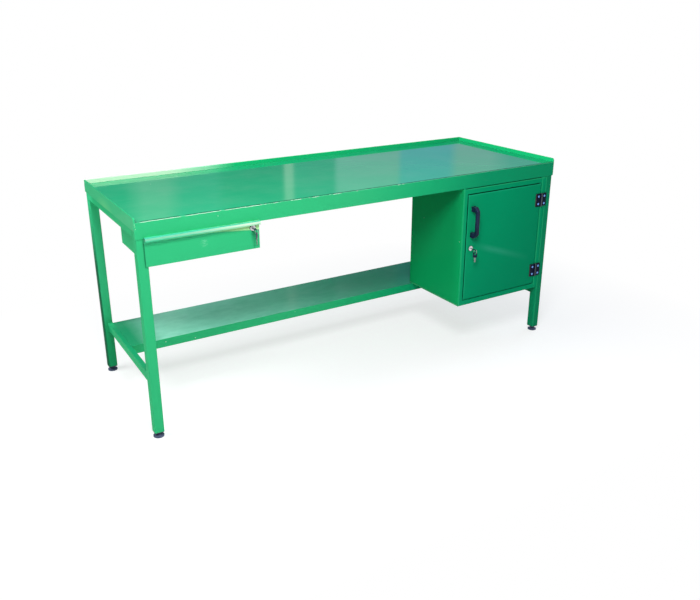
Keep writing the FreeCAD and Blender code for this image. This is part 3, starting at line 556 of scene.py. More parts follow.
def mark_worktop(tree, place, look):
    """Upstands painted brighter as painted light, with a painted glare at the rear left, the worn front fold with
    painted highlight and shade, a painted sheen and reflection on the left end, and chips.
    """
    x, y, z = tree.axes(place)
    tint = look["tint"]
    # The fold shows pale dashes, long ones at the left, then thinner ones, partly lost paint and partly painted
    # highlight, below a painted shade line; a faint painted highlight runs along the whole fold.
    ragged = tree.noise(tree.stretched(place, (13.0, 0.0, 0.0)), 1.0, 4.0, 0.6)
    long_dashes = tree.either(*[tree.band(x, middle, half, 9 * MM) for middle, half in LONG_DASHES])
    rightward = tree.ramp(x, DASHES_END - 10 * MM, DASHES_END)
    thinning = tree.ramp(x, DASHES_END, 0.60, 0.46, 0.66)
    short_dashes = tree.both(tree.ramp(tree.math("SUBTRACT", ragged, thinning), 0.0, 0.03), rightward)
    dashes = tree.either(tree.both(long_dashes, tree.ramp(ragged, 0.28, 0.38, 0.4, 1.0)), short_dashes)
    fold = tree.both(tree.band(y, fold_y + 0.4 * MM, 0.4 * MM, 0.5 * MM),
                     tree.band(z, surface_z - 0.9 * MM, 0.6 * MM, 0.6 * MM))
    top = tree.ramp(z, surface_z - 0.4 * MM, surface_z)
    waver = tree.both(tree.math("SUBTRACT", tree.noise(place, 60.0, 3.0), 0.5), 8 * MM)
    line = tree.band(tree.math("ADD", y, waver), fold_y + 6.0 * MM, 4.0 * MM, 3.0 * MM)
    unbroken = tree.both(rightward, tree.ramp(ragged, 0.25, 0.40, 0.6, 1.0))
    shade_line = tree.both(line, top, tree.either(dashes, unbroken))
    tint = tree.tinted(tint, PAINTED_SHADE_LINE, shade_line, 0.80)
    tint = tree.tinted(tint, PAINTED_SHEEN, fold, 0.20)
    tint = tree.tinted(tint, BARE_AND_LIT_FOLD, tree.both(fold, dashes), 0.75)
    look["shine"] = tree.both(look["shine"], tree.ramp(shade_line, 0.0, 1.0, 1.0, 0.5))
    # The upstands are painted brighter, as painted light, and the rear one has a painted glare at its left end.
    rear = tree.ramp(y, top_high.y - UPSTAND_HEM - 0.4 * MM, top_high.y - UPSTAND_HEM)
    right = tree.ramp(x, top_high.x - UPSTAND_HEM - 0.4 * MM, top_high.x - UPSTAND_HEM)
    above = tree.ramp(z, surface_z, surface_z + MM)
    lips = tree.both(above, tree.either(rear, right))
    tint = tree.tinted(tint, UPSTAND_LIT, lips)
    look["shine"] = tree.both(look["shine"], tree.ramp(lips, 0.0, 1.0, 1.0, 0.06))
    upstand = tree.both(above, rear)
    tint = tree.tinted(tint, HALF_GLARE, tree.both(upstand, tree.ramp(x, -0.32, -0.44)), 0.80)
    falloff = tree.ramp(tree.math("ADD", x, tree.both(tree.noise(place, 9.0, 2.0), 0.12)), -0.32, -0.56)
    tint = tree.tinted(tint, UPSTAND_GLARE, tree.both(upstand, falloff))
    # A painted sheen over the left end face, and on it a painted reflection patch three times as wide as it is high
    end_face = tree.ramp(x, top_low.x + 0.4 * MM, top_low.x + 0.1 * MM)
    tint = tree.tinted(tint, PAINTED_SHEEN, end_face, 0.13)
    patch = tree.spot(tree.stretched(place, (0.0, 1.0, 3.0)), (0.0, 0.06, 3 * 0.826), 15 * MM, 110 * MM)
    tint = tree.tinted(tint, KHAKI, tree.both(end_face, patch), 0.16)
    look["tint"] = tint
    chips(tree, place, look, [
        ((-0.997, fold_y, 0.853), 1.0 * MM), ((-0.996, fold_y, 0.846), 0.8 * MM), ((-0.995, fold_y, 0.836), 1.0 * MM),
        ((-0.690, fold_y, 0.841), 1.0 * MM), ((-0.612, 0.3655, surface_z + UPSTAND), 1.2 * MM),
        ((-0.618, 0.313, surface_z), 1.0 * MM), ((-0.766, 0.224, surface_z), 0.9 * MM)])


def mark_drawer_front(tree, place, look):
    """Pull painted pale with painted highlights and reflection, the warm light that it throws on the sheet below it,
    painted shade, and a patch of scratches.
    """
    x, y, z = tree.axes(place)
    tint = look["tint"]
    sheet_y = front_high.y - FRONT_SHEET
    # The pull is painted paler as painted highlight and reflection, whiter to the right, with a painted highlight
    # streak along it and a painted reflection on its top rim.
    pull = tree.ramp(y, sheet_y - 1.0 * MM, sheet_y - 3.0 * MM)
    streaks = tree.noise(tree.stretched(place, (5.0, 40.0, 260.0)), 1.0, 3.0)
    highlight_streak = tree.both(tree.band(z, front_high.z - 5 * MM, 2.5 * MM, 2 * MM), tree.ramp(x, -0.98, -0.80, 0.6, 1.0))
    rightward = tree.ramp(x, -0.80, -0.57)
    pull_lit = tree.mix(rightward, PULL_LEFT, PULL_RIGHT)
    pull_lit = tree.mix(highlight_streak, pull_lit, tree.mix(rightward, PULL_STREAK_LEFT, PULL_STREAK_RIGHT))
    pull_lit = tree.mix(tree.ramp(z, front_high.z - 1.5 * MM, front_high.z - 0.3 * MM), pull_lit, PULL_RIM)
    tint = tree.mix(tree.both(pull, tree.ramp(streaks, 0.3, 0.7, 0.75, 1.0)), tint, pull_lit)
    # The sheet below the pull is paler where the light comes back off the pull, most of all in a wedge at its right.
    below = tree.math("SUBTRACT", 1.0, pull)
    bounce = tree.both(below, tree.ramp(z, front_high.z - 30 * MM, front_high.z - 17 * MM))
    tint = tree.tinted(tint, LIT_SHEET, bounce, 0.9)
    thin_line = tree.both(below, tree.band(z, front_high.z - 17 * MM, 2 * MM, 2 * MM), tree.ramp(x, -0.92, -0.86))
    tint = tree.tinted(tint, KHAKI, thin_line, 0.5)
    edge = tree.ramp(x, -0.76, -0.53, front_high.z - 15 * MM, front_high.z - 36 * MM)
    wedge = tree.both(below, tree.ramp(tree.math("SUBTRACT", z, edge), -3 * MM, 3 * MM),
                      tree.ramp(tree.noise(place, 30.0, 2.0), 0.2, 0.5, 0.7, 1.0), tree.ramp(x, -0.78, -0.62))
    tint = tree.tinted(tint, LIT_WEDGE, wedge)
    # Behind the keys their shadow is painted, and its left edge has a painted shade line; a patch near the middle is
    # rubbed crosswise.
    hanging = (spare_low + spare_high) / 2
    key_shadow = tree.both(below, tree.band(x, hanging.x, 2 * MM, 7 * MM), tree.band(z, hanging.z, 8 * MM, 16 * MM))
    tint = tree.tinted(tint, KEY_SHADE, key_shadow, 0.35)
    left_edge = tree.ramp(x, front_low.x + 3.2 * MM, front_low.x + 2.0 * MM)
    tint = tree.tinted(tint, PAINTED_SHADE_LINE, left_edge, 0.6)
    cross = []
    for turn in (0.5, -0.7, 1.2):
        lines = tree.noise(tree.stretched(place, (60.0, 1.0, 900.0), (0.0, turn, 0.0)), 1.0, 1.0)
        cross.append(tree.ramp(lines, 0.62, 0.66))
    rubbed = tree.both(tree.spot(place, (-0.751, sheet_y, 0.749), 6 * MM, 12 * MM), tree.either(*cross))
    look["tint"] = tree.tinted(tint, RUBBED_PATCH, rubbed, 0.35)


def shadow_gap(tree, x, y, z, look, outward):
    """Dark line along the gap round the door, on the frame's side of it or on the door's.

    It is weaker at the hinges and the sill. Gives the distances from the gap at the left and at the top.
    """
    side = 1 if outward else -1
    left = tree.both(tree.math("SUBTRACT", door_low.x - DOOR_GAP / 2, x), side)
    right = tree.both(tree.math("SUBTRACT", x, door_high.x + DOOR_GAP / 2), side)
    under = tree.both(tree.math("SUBTRACT", door_low.z - DOOR_GAP / 2, z), side)
    over = tree.both(tree.math("SUBTRACT", z, door_high.z + DOOR_GAP / 2), side)
    if outward:
        away = tree.either(left, right, under, over)
    else:
        away = tree.math("MINIMUM", tree.math("MINIMUM", left, right), tree.math("MINIMUM", under, over))
    deep = tree.both(tree.ramp(away, 2.8 * MM, 2.2 * MM), tree.ramp(y, door_low.y + 12 * MM, door_low.y + 8 * MM),
                     tree.ramp(away, -2.5 * MM, -2.0 * MM))
    hinge_side = tree.ramp(x, door_high.x - 20 * MM, door_high.x - 5 * MM)
    sill = tree.ramp(z, door_low.z + 20 * MM, door_low.z + 5 * MM)
    strength = tree.ramp(tree.either(hinge_side, tree.both(sill, 0.5)), 0.0, 1.0, 1.0, 0.2)
    look["tint"] = tree.tinted(look["tint"], GAP_SHADE, tree.both(deep, strength), 0.96)
    return left, over


def mark_cupboard(tree, place, look):
    """Painted shade in the door gap and along the seams, painted highlights on the bends, painted shade and light on
    the outside, and two chips.
    """
    x, y, z = tree.axes(place)
    face = tree.ramp(y, cupboard_low.y + 1.6 * MM, cupboard_low.y + 1.2 * MM)
    shadow_gap(tree, x, y, z, look, True)
    tint = look["tint"]
    # Painted highlights on the bends of the face frame
    left_bend = tree.band(x, cupboard_low.x + 4.5 * MM, 2.0 * MM, 2.0 * MM)
    right_bend = tree.both(tree.band(x, door_high.x + 8 * MM, 1.8 * MM, 1.6 * MM),
                           tree.ramp(z, cupboard_low.z, door_low.z))
    head_bend = tree.both(tree.band(z, cupboard_high.z - 7 * MM, 1.2 * MM, 1.4 * MM),
                          tree.ramp(x, cupboard_low.x, door_low.x))
    bend_highlights = tree.both(face, tree.either(left_bend, right_bend, head_bend))
    tint = tree.tinted(tint, CUPBOARD_BEND_HIGHLIGHT, bend_highlights, 0.75)
    # Painted shadow under the apron, along the top of the face frame
    head_shadow = tree.both(face, tree.band(z, cupboard_high.z - 3.2 * MM, 1.8 * MM, 0.6 * MM),
                          tree.ramp(x, cupboard_low.x + 10 * MM, cupboard_low.x + 14 * MM),
                          tree.ramp(x, door_high.x, door_high.x - 4 * MM))
    tint = tree.tinted(tint, PAINTED_SHADE_LINE, head_shadow, 0.9)
    # A painted shade line along the face's right edge, beside the leg
    side_line = tree.both(face, tree.ramp(x, cupboard_high.x - 2.4 * MM, cupboard_high.x - 1.2 * MM))
    tint = tree.tinted(tint, PAINTED_SHADE_LINE, side_line, 0.5)
    # The outer sides are painted darker at the top and lighter low down and near the front, as painted shade and light
    outside = tree.either(tree.ramp(x, cupboard_low.x + 0.8 * MM, cupboard_low.x + 0.3 * MM),
                          tree.ramp(x, cupboard_high.x - 0.8 * MM, cupboard_high.x - 0.3 * MM))
    tint = tree.mix(outside, tint, tree.mix(tree.ramp(z, 0.76, 0.28), SIDE_SHADED_HIGH, SIDE_LIT_LOW))
    front_edge = tree.both(outside, tree.ramp(y, cupboard_low.y + 60 * MM, cupboard_low.y + 6 * MM))
    tint = tree.tinted(tint, SIDE_LIT_FRONT, front_edge, 0.45)
    # The bottom pan's seam along the outside, as a painted shade line with a painted highlight under it
    seam_shade = tree.both(outside, tree.band(z, cupboard_low.z + 8 * MM, 0.5 * MM, 0.6 * MM))
    rise_highlight = tree.both(outside, tree.band(z, cupboard_low.z + 6 * MM, 0.6 * MM, 1.4 * MM))
    tint = tree.tinted(tint, PAINTED_SHEEN, rise_highlight, 0.30)
    look["tint"] = tree.tinted(tint, PAINTED_SHADE_LINE, seam_shade, 0.75)
    chips(tree, place, look, [((cupboard_low.x, -0.313, 0.550), 1.2 * MM),
                              ((cupboard_low.x, -0.043, 0.598), 1.0 * MM)])


def mark_door(tree, place, look):
    """Painted shade in the gap, painted highlights on the bends, painted shade towards the lower right and one wide
    painted sheen on the outer face.
    """
    x, y, z = tree.axes(place)
    left, over = shadow_gap(tree, x, y, z, look, False)
    # Painted highlights on the bends
    bend_highlight = tree.either(tree.band(left, 6.0 * MM, 1.6 * MM, 1.6 * MM), tree.band(over, 5.6 * MM, 1.4 * MM, 1.4 * MM))
    tint = tree.tinted(look["tint"], DOOR_BEND_HIGHLIGHT, bend_highlight, 0.45)
    # Painted shade towards the lower right
    low_right = tree.ramp(tree.math("SUBTRACT", x, tree.both(z, 0.9)), 0.05, 0.55)
    tint = tree.tinted(tint, DOOR_SHADE, low_right, 0.5)
    # A wide painted sheen across the outer face
    slope = tree.math("ADD", z, tree.both(x, 0.34))
    highlight_streak = tree.both(tree.band(slope, 0.709, 2 * MM, 20 * MM), tree.ramp(x, 0.55, 0.63), tree.ramp(x, 0.90, 0.70),
                       tree.ramp(y, door_low.y + 1.0 * MM, door_low.y + 0.6 * MM))
    look["tint"] = tree.tinted(tint, DOOR_SHEEN, highlight_streak, 0.16)


def mark_frame(tree, place, look):
    """Painted shade on the leg beside the cupboard, with a painted highlight on its corner, and painted light and
    shade on the rear left leg.
    """
    x, y, z = tree.axes(place)
    # The leg beside the cupboard is painted darker as painted shade, with a painted highlight on its rounded corner
    right_leg = tree.both(tree.ramp(x, leg_low.x - 0.5 * MM, leg_low.x - 0.1 * MM), tree.ramp(y, -0.20, -0.25))
    tint = tree.tinted(look["tint"], LEG_SHADE, right_leg, 0.45)
    corner = tree.both(right_leg, tree.band(x, leg_low.x + 5.5 * MM, 1.8 * MM, 1.6 * MM),
                       tree.ramp(y, leg_low.y + 6.5 * MM, leg_low.y + 2.5 * MM))
    tint = tree.tinted(tint, LEG_CORNER_HIGHLIGHT, corner, 0.65)
    # The rear left leg is painted lit above the shelf and shaded below it, and the lower part of its outer side has
    # painted shade.
    rear_left = tree.both(tree.ramp(x, -0.94, -0.95), tree.ramp(y, 0.25, 0.30))
    lit = tree.mix(tree.ramp(z, 0.20, 0.27), LEG_SHADED_FOOT, LEG_LIT)
    tint = tree.tinted(tint, lit, rear_left, 0.9)
    outer = tree.both(rear_left, tree.ramp(x, top_low.x + 6.5 * MM, top_low.x + 4.0 * MM))
    look["tint"] = tree.tinted(tint, LEG_OUTER_SHADE, tree.both(outer, tree.ramp(z, 0.80, 0.50)))


def mark_shelf(tree, place, look):
    """Paler left end, painted shade on the bluish right end, and chips along the front lip."""
    x, _, z = tree.axes(place)
    upward = tree.ramp(z, shelf_high.z - 0.4 * MM, shelf_high.z - 0.1 * MM)
    # The top is paler, with a grain, towards its left end
    grain = tree.noise(tree.stretched(place, (5.0, 9.0, 3.0)), 3.0, 5.0, 0.6)
    paler_left = tree.both(upward, tree.ramp(x, 0.25, -0.45, 0.25, 1.0), tree.ramp(x, -0.93, -0.82),
                      tree.ramp(grain, 0.30, 0.70, 0.75, 1.0))
    tint = tree.tinted(look["tint"], SHELF_PALE, paler_left, 0.78)
    # Painted shade darkens the top towards its right end
    look["tint"] = tree.tinted(tint, SHELF_SHADE, tree.both(upward, tree.ramp(x, -0.50, 0.46)), 0.55)
    look["shine"] = tree.both(look["shine"], tree.ramp(x, -0.80, 0.40, 1.0, 0.25))
    chips(tree, place, look, [((-0.816, shelf_low.y, 0.223), 1.6 * MM), ((-0.686, shelf_low.y, 0.211), 1.5 * MM),
                              ((-0.20, shelf_low.y, 0.228), 0.9 * MM)])


# Metals and plastics
def make_metal(name, colour, roughness, grain, grain_scale, metallic=1.0):
    """Plated or bare metal with a fine grain and cloudy roughness."""
    material, tree, surface, place = new_material(name)
    cloud = tree.noise(place, 40.0, 4.0)
    fine = tree.noise(place, grain_scale, 3.0)
    tint = tree.mix(tree.ramp(cloud, 0.3, 0.7), tuple(c * 0.8 for c in colour[:3]) + (1.0,), colour)
    tree.feed(tint, surface["Base Color"])
    tree.feed(tree.ramp(fine, 0.3, 0.7, roughness * 0.8, roughness * 1.25), surface["Roughness"])
    surface["Metallic"].default_value = metallic
    bump = tree.add("ShaderNodeBump", {"Height": fine, "Strength": grain, "Distance": 0.1 * MM})
    tree.feed(bump.outputs[0], surface["Normal"])
    return material


def mark_hinges(tree, place, tint):
    """Knuckles painted a dull grey as a painted highlight, and a reddish painted highlight on the edge of the door's
    leaves.
    """
    x = tree.axes(place)[0]
    # Painted highlights on the knuckles and on the door leaves' outer edge
    knuckle = tree.band(x, hinge_x, 3.2 * MM, 1.2 * MM)
    tint = tree.tinted(tint, KNUCKLE_HIGHLIGHT, knuckle, 0.9)
    edge = tree.ramp(x, hinge_x - 29.5 * MM, hinge_x - 31 * MM)
    return tree.tinted(tint, LEAF_EDGE_HIGHLIGHT, edge, 0.8)


def make_plastic(name, colour, roughness, grain, grain_scale, wear, shine=0.5, marks=None):
    """Moulded plastic or black lacquer, with a fine texture and paler edges as a painted highlight."""
    material, tree, surface, place = new_material(name)
    fine = tree.noise(place, grain_scale, 3.0)
    cloud = tree.noise(place, 30.0, 3.0)
    worn = place_group(tree, wear_group, Place=place, Width=0.8 * MM, Amount=wear)
    dirt = place_group(tree, dust_group, Place=place, Amount=0.3)
    pale = tuple(min(c * 2.0 + 0.006, 1.0) for c in colour[:3]) + (1.0,)
    tint = tree.mix(tree.ramp(cloud, 0.35, 0.7), colour, pale)
    # Every edge is painted paler, a painted highlight
    tint = tree.tinted(tint, BLACK_EDGE_HIGHLIGHT, worn["Edge"], 0.40)
    tint = tree.tinted(tint, GREY_DUST, dirt["Mask"], 0.5)
    if marks:
        tint = marks(tree, place, tint)
    tree.feed(tint, surface["Base Color"])
    tree.feed(tree.ramp(fine, 0.3, 0.7, roughness * 0.85, roughness * 1.15), surface["Roughness"])
    surface["Specular IOR Level"].default_value = shine
    surface["Specular Tint"].default_value = COOL_SHINE
    bump = tree.add("ShaderNodeBump", {"Height": fine, "Strength": grain, "Distance": 0.15 * MM})
    tree.feed(bump.outputs[0], surface["Normal"])
    return material


# Name, roughness, orange peel, edge wear, dust, scratches, coat on upright and level faces, and marks
paints = {
    "worktop": make_green_paint("paint_worktop", 0.10, 0.30, 0.35, 0.10, 0.22, (0.09, 1.0), mark_worktop),
    "frame": make_green_paint("paint_frame", 0.28, 0.6, 0.35, 0.15, 0.05, (0.09, 0.5), mark_frame),
    "drawer": make_green_paint("paint_drawer", 0.24, 0.5, 0.25, 0.10, 0.08, (0.10, 0.4), mark_drawer_front),
    "cupboard": make_green_paint("paint_cupboard", 0.26, 0.5, 0.25, 0.10, 0.06, (0.04, 0.3), mark_cupboard),
    "door": make_green_paint("paint_door", 0.26, 0.5, 0.20, 0.10, 0.05, (0.04, 0.3), mark_door),
    "inside": make_green_paint("paint_inside", 0.34, 0.7, 0.12, 0.20, 0.05, (0.10, 0.3)),
    "shelf": make_green_paint("paint_shelf", 0.14, 0.4, 0.35, 0.20, 0.2, (0.06, 0.9), mark_shelf),
}
# Name, colour, roughness, grain and its scale, then wear and shine, or how metallic it is
black_lacquer = make_plastic("black_lacquer", (0.002, 0.003, 0.016, 1.0), 0.30, 0.1, 900.0, 0.3, 0.10)
hinge_lacquer = make_plastic("hinge_lacquer", (0.001, 0.002, 0.014, 1.0), 0.30, 0.1, 900.0, 0.3, 0.06, mark_hinges)
black_moulding = make_plastic("black_moulding", (0.003, 0.006, 0.022, 1.0), 0.30, 0.2, 1400.0, 0.15, 0.22)
foot_rubber = make_plastic("foot_rubber", (0.040, 0.048, 0.085, 1.0), 0.42, 0.25, 1200.0, 0.4)
plug_plastic = make_plastic("plug_plastic", (0.010, 0.011, 0.013, 1.0), 0.50, 0.25, 1200.0, 0.2)
zinc_plate = make_metal("zinc_plate", (0.58, 0.60, 0.63, 1.0), 0.32, 0.1, 700.0)
# The screw heads are tinted blue, a painted reflection of the sky
screw_blue_reflection = make_metal("screw_blue_reflection", (0.22, 0.45, 0.92, 1.0), 0.28, 0.06, 900.0)
lock_chrome = make_metal("lock_chrome", (0.88, 0.87, 0.88, 1.0), 0.16, 0.03, 900.0, 0.55)
ring_steel = make_metal("ring_steel", (0.74, 0.76, 0.78, 1.0), 0.18, 0.05, 900.0)
blade_steel = make_metal("blade_steel", (0.24, 0.26, 0.25, 1.0), 0.25, 0.08, 800.0)


def finish_for(name):
    """The finish of a CAD node, by its name."""
    if name == "worktop":
        return paints["worktop"]
    if name in ("lower_shelf", "cupboard_shelf"):
        return paints["shelf"]
    if name.startswith(("leg_front", "leg_rear", "top_rail", "cross_bearer", "low_rail")):
        return paints["frame"]
    if name in ("drawer_housing", "drawer_box", "cupboard_back"):
        return paints["inside"]
    if name == "drawer_front":
        return paints["drawer"]
    if name in ("door", "cupboard"):
        return paints[name]
    if name.startswith("hinge_"):
        return hinge_lacquer
    if name == "door_handle":
        return black_moulding
    if name.startswith("foot_"):
        return foot_rubber
    if name == "leg_plugs":
        return plug_plastic
    if name.endswith(("lock_body", "lock_plug")):
        return lock_chrome
    if name.endswith("key_ring"):
        return ring_steel
    if name.endswith("_key"):
        return black_moulding
    return zinc_plate


for name, node in nodes.items():
    node.data.materials.clear()
    node.data.materials.append(finish_for(name))


# Screws, bolts and weld beads
def model_screw_head(radius, height):
    """Domed screw head with a cross recess, its flat side on the origin and its face towards -Y."""
    head = start_cylinder("screw_head", radius, height, (0, -height / 2, 0), along_y=True)
    edit_faces(head, lambda face: face.normal.y < -0.9)
    bpy.ops.mesh.bevel(offset=height * 0.8, segments=5, profile=0.55, affect="EDGES")
    finish_edit()
    for width, length in ((radius * 0.22, radius * 1.15), (radius * 1.15, radius * 0.22)):
        cutter = start_piece("recess", bpy.ops.mesh.primitive_cube_add, size=1.0, location=(0, -height, 0))
        edit_faces(cutter, lambda face: True)
        bpy.ops.transform.resize(value=(width, height * 0.9, length), center_override=(0, -height, 0))
        finish_edit()
        cut_away(head, cutter)
    shade_smooth(head)
    return head


def set_copies(model, seats, finish, slot, body, name):
    """Numbered copies of a piece, one on each seat."""
    for number, seat in enumerate(seats, 1):
        dress(copy_moved(model, "%s_%d" % (name, number), seat), body, finish, slot)


# Two screws in each hinge leaf, this far from the hinge's middle across and along
SCREW_OFFSET = 18 * MM
HINGE_HALF = 31 * MM
hinge_heights = (pins_low.z + HINGE_HALF, pins_high.z - HINGE_HALF)
leaf_face_y = cupboard_low.y - 5 * MM
hinge_screw = model_screw_head(5.4 * MM, 2.6 * MM)
for side, body, leaf in ((1, "root", "frame"), (-1, "door", "door")):
    seats = [(hinge_x + side * SCREW_OFFSET, leaf_face_y, height + step)
             for height in hinge_heights for step in (-SCREW_OFFSET, SCREW_OFFSET)]
    set_copies(hinge_screw, seats, screw_blue_reflection, "zinc_steel", body, "hinge_screw_" + leaf)
bpy.data.objects.remove(hinge_screw, do_unlink=True)


def model_bolt_head(across, height):
    """Hexagon head on a washer, its face towards -Z and the washer on the origin."""
    washer = start_cylinder("washer", across * 0.62, height * 0.3, (0, 0, -height * 0.15))
    bevel_edges(washer, height * 0.06, 2, 50)
    head = start_cylinder("head", across / math.sqrt(3), height * 0.75, (0, 0, -height * 0.62), 6)
    edit_faces(head, lambda face: face.normal.z < -0.9)
    bpy.ops.mesh.bevel(offset=height * 0.14, segments=3, profile=0.5, affect="EDGES")
    finish_edit()
    bolt = join_pieces("bolt_head", [washer, head])
    shade_smooth(bolt)
    return bolt


# Bolts under the flanges of the drawer housing and under the cupboard's roof
SHELL_SHEET = 1.2 * MM
housing_low, housing_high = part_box("drawer_housing")
bolt_head = model_bolt_head(10 * MM, 5 * MM)
bolt_seats = [(x, y, housing_high.z - SHELL_SHEET) for x in (housing_low.x + 9 * MM, housing_high.x - 9 * MM)
              for y in (housing_low.y + 75 * MM, housing_high.y - 45 * MM)]
bolt_seats += [(x, y, cupboard_high.z - SHELL_SHEET) for x in (cupboard_low.x + 18 * MM, cupboard_high.x - 18 * MM)
               for y in (cupboard_low.y + 60 * MM, cupboard_high.y - 60 * MM)]
set_copies(bolt_head, bolt_seats, zinc_plate, "zinc_steel", "root", "mounting_bolt")
bpy.data.objects.remove(bolt_head, do_unlink=True)


# How much the bead widens at its start, at each ripple and at its end
BEAD_START = 1.7
RIPPLE = 1.18
BEAD_END = 0.55


def model_weld_bead(length, radius, ripples):
    """Rippled weld bead along +Z from the origin, narrow at its start and its end."""
    bead = start_piece("weld_bead", bpy.ops.mesh.primitive_circle_add, vertices=10, radius=radius * 0.5,
                       fill_type="NGON")
    edit_faces(bead, lambda face: True)
    step = length / (2 * ripples)
    for growth in [BEAD_START] + [1 / RIPPLE, RIPPLE] * (ripples - 1) + [BEAD_END]:
        bpy.ops.mesh.extrude_region_move(TRANSFORM_OT_translate={"value": (0, 0, step)})
        bpy.ops.transform.resize(value=(growth, growth, 1.0))
    bpy.ops.mesh.select_all(action="SELECT")
    bpy.ops.mesh.normals_make_consistent(inside=False)
    finish_edit()
    shade_smooth(bead, 60)
    return bead


# Beads where the low rails meet the legs, on their outer sides
rail_low, rail_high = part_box("low_rail_left")
weld_bead = model_weld_bead(34 * MM, 2.6 * MM, 9)
bead_seats = [(x, y, rail_low.z + 2 * MM) for x in (rail_low.x + 0.2 * MM, -rail_low.x - 0.2 * MM)
              for y in (rail_low.y, rail_high.y)]
set_copies(weld_bead, bead_seats, paints["frame"], "green_paint", "root", "weld_bead")
bpy.data.objects.remove(weld_bead, do_unlink=True)


# Worktop, handle, hinge leaves, feet and locks with rounded edges, and a dark ring round each lock, standing in for
# the shade there
dress(finer_copy("worktop", "folded_worktop", 0.9 * MM, 3, 40), "root", paints["worktop"], "green_paint", "worktop")
dress(finer_copy("door_handle", "bow_handle", 0.9 * MM, 3, 20), "door", black_moulding, "black_plastic", "door_handle")
for body, owner in (("root", "frame"), ("door", "door")):
    leaves = "hinge_leaves_" + owner
    dress(finer_copy(leaves, "hinge_leaves_on_" + owner, 0.5 * MM, 2, 40), body, hinge_lacquer, "black_hinge", leaves)
for corner in ("front_left", "front_right", "rear_left", "rear_right"):
    foot = "foot_" + corner
    dress(finer_copy(foot, "levelling_" + foot, 1.2 * MM, 3, 30), foot, foot_rubber, "black_plastic", foot)

SHADE_RING_RADIUS = 12.6 * MM
SHADE_RING_BORE = 11.05 * MM
SHADE_RING_THICKNESS = 0.8 * MM
for owner, seat_y in (("drawer", front_high.y - FRONT_SHEET), ("door", cupboard_low.y)):
    node_name = owner + "_lock_body"
    dress(finer_copy(node_name, owner + "_lock_barrel", 0.7 * MM, 3, 40), owner, lock_chrome, "lock_chrome", node_name)
    # A dark ring lies on the sheet round the flange of the lock, standing in for the shade round it.
    face_low, face_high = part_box(node_name)
    seat = ((face_low.x + face_high.x) / 2, seat_y - SHADE_RING_THICKNESS / 2, (face_low.z + face_high.z) / 2)
    shade_ring = start_cylinder(owner + "_lock_shade_ring", SHADE_RING_RADIUS, SHADE_RING_THICKNESS, seat, 64, True)
    cut_away(shade_ring, start_cylinder("shade_ring_bore", SHADE_RING_BORE, 5 * SHADE_RING_THICKNESS, seat, 64, True))
    bevel_edges(shade_ring, 0.25 * MM, 2, 50)
    shade_smooth(shade_ring)
    dress(shade_ring, owner, black_lacquer, "black_plastic")


# Keys and their rings
KEY_BOW = 24 * MM
RING_RADIUS = 9.5 * MM
WIRE_SIZE = (0.72 * MM, 1.5 * MM, 1.0)
WIRE_OFFSET = 0.4 * MM


def dress_key(node_name, name, body, upright):
    """A key with a moulded black bow and a steel blade."""
    low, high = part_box(node_name)
    key = finer_copy(node_name, name, 0.45 * MM, 3, 40)
    dress(key, body, black_moulding, "key_head", node_name)
    key.data.materials.append(blade_steel)
    for face in key.data.polygons:
        along = high.z - face.center.z if upright else face.center.y - low.y
        face.material_index = 1 if along > KEY_BOW + 0.05 * MM else 0


for owner in ("drawer", "door"):
    dress_key(owner + "_key", owner + "_lock_key", owner + "_lock", False)
    dress_key(owner + "_spare_key", owner + "_hanging_key", owner + "_spare_key", True)


def make_split_ring(owner, twist_degrees):
    """Two turns of flat wire side by side, in place of the plain ring, their ends set apart."""
    low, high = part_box(owner + "_key_ring")
    turns = []
    for side in (-1, 1):
        turn = start_piece("wire", bpy.ops.mesh.primitive_plane_add, size=1.0)
        edit_faces(turn, lambda face: True)
        bpy.ops.mesh.subdivide(number_cuts=1)
        bpy.ops.transform.resize(value=WIRE_SIZE)
        finish_edit()
        turn.rotation_euler = (math.radians(90), 0, 0)
        turn.location = (side * WIRE_OFFSET, 0, RING_RADIUS)
        settle(turn)
        edit_faces(turn, lambda face: True)
        bpy.ops.mesh.spin(steps=72, angle=math.radians(352), center=(0, 0, 0), axis=(1, 0, 0), dupli=False)
        bpy.ops.mesh.select_all(action="SELECT")
        bpy.ops.mesh.normals_make_consistent(inside=False)
        finish_edit()
        turn.rotation_euler = (math.radians(150 + side * 12), 0, 0)
        settle(turn)
        turns.append(turn)
    ring = join_pieces(owner + "_split_ring", turns)
    bevel_edges(ring, 0.12 * MM, 2, 40)
    ring.rotation_euler = (0, 0, math.radians(twist_degrees))
    ring.location = (low + high) / 2
    settle(ring)
    shade_smooth(ring)
    dress(ring, owner + "_key_ring", ring_steel, "ring_steel", owner + "_key_ring")


make_split_ring("drawer", 12.0)
make_split_ring("door", 0.0)


# Studio
BLACK = (0.0, 0.0, 0.0, 1.0)
WHITE = (1.0, 1.0, 1.0, 1.0)
FLOOR_GREY = (0.80, 0.80, 0.80, 1.0)
FLOOR_SHADOW = (0.34, 0.34, 0.34, 1.0)
HALF_LENGTH = 1.0
HALF_DEPTH = 0.35
SHADOW_FADE = (0.15, 1.0)
WORLD_LEVEL = 0.20
WORLD_TINT = (0.95, 1.00, 1.08, 1.0)
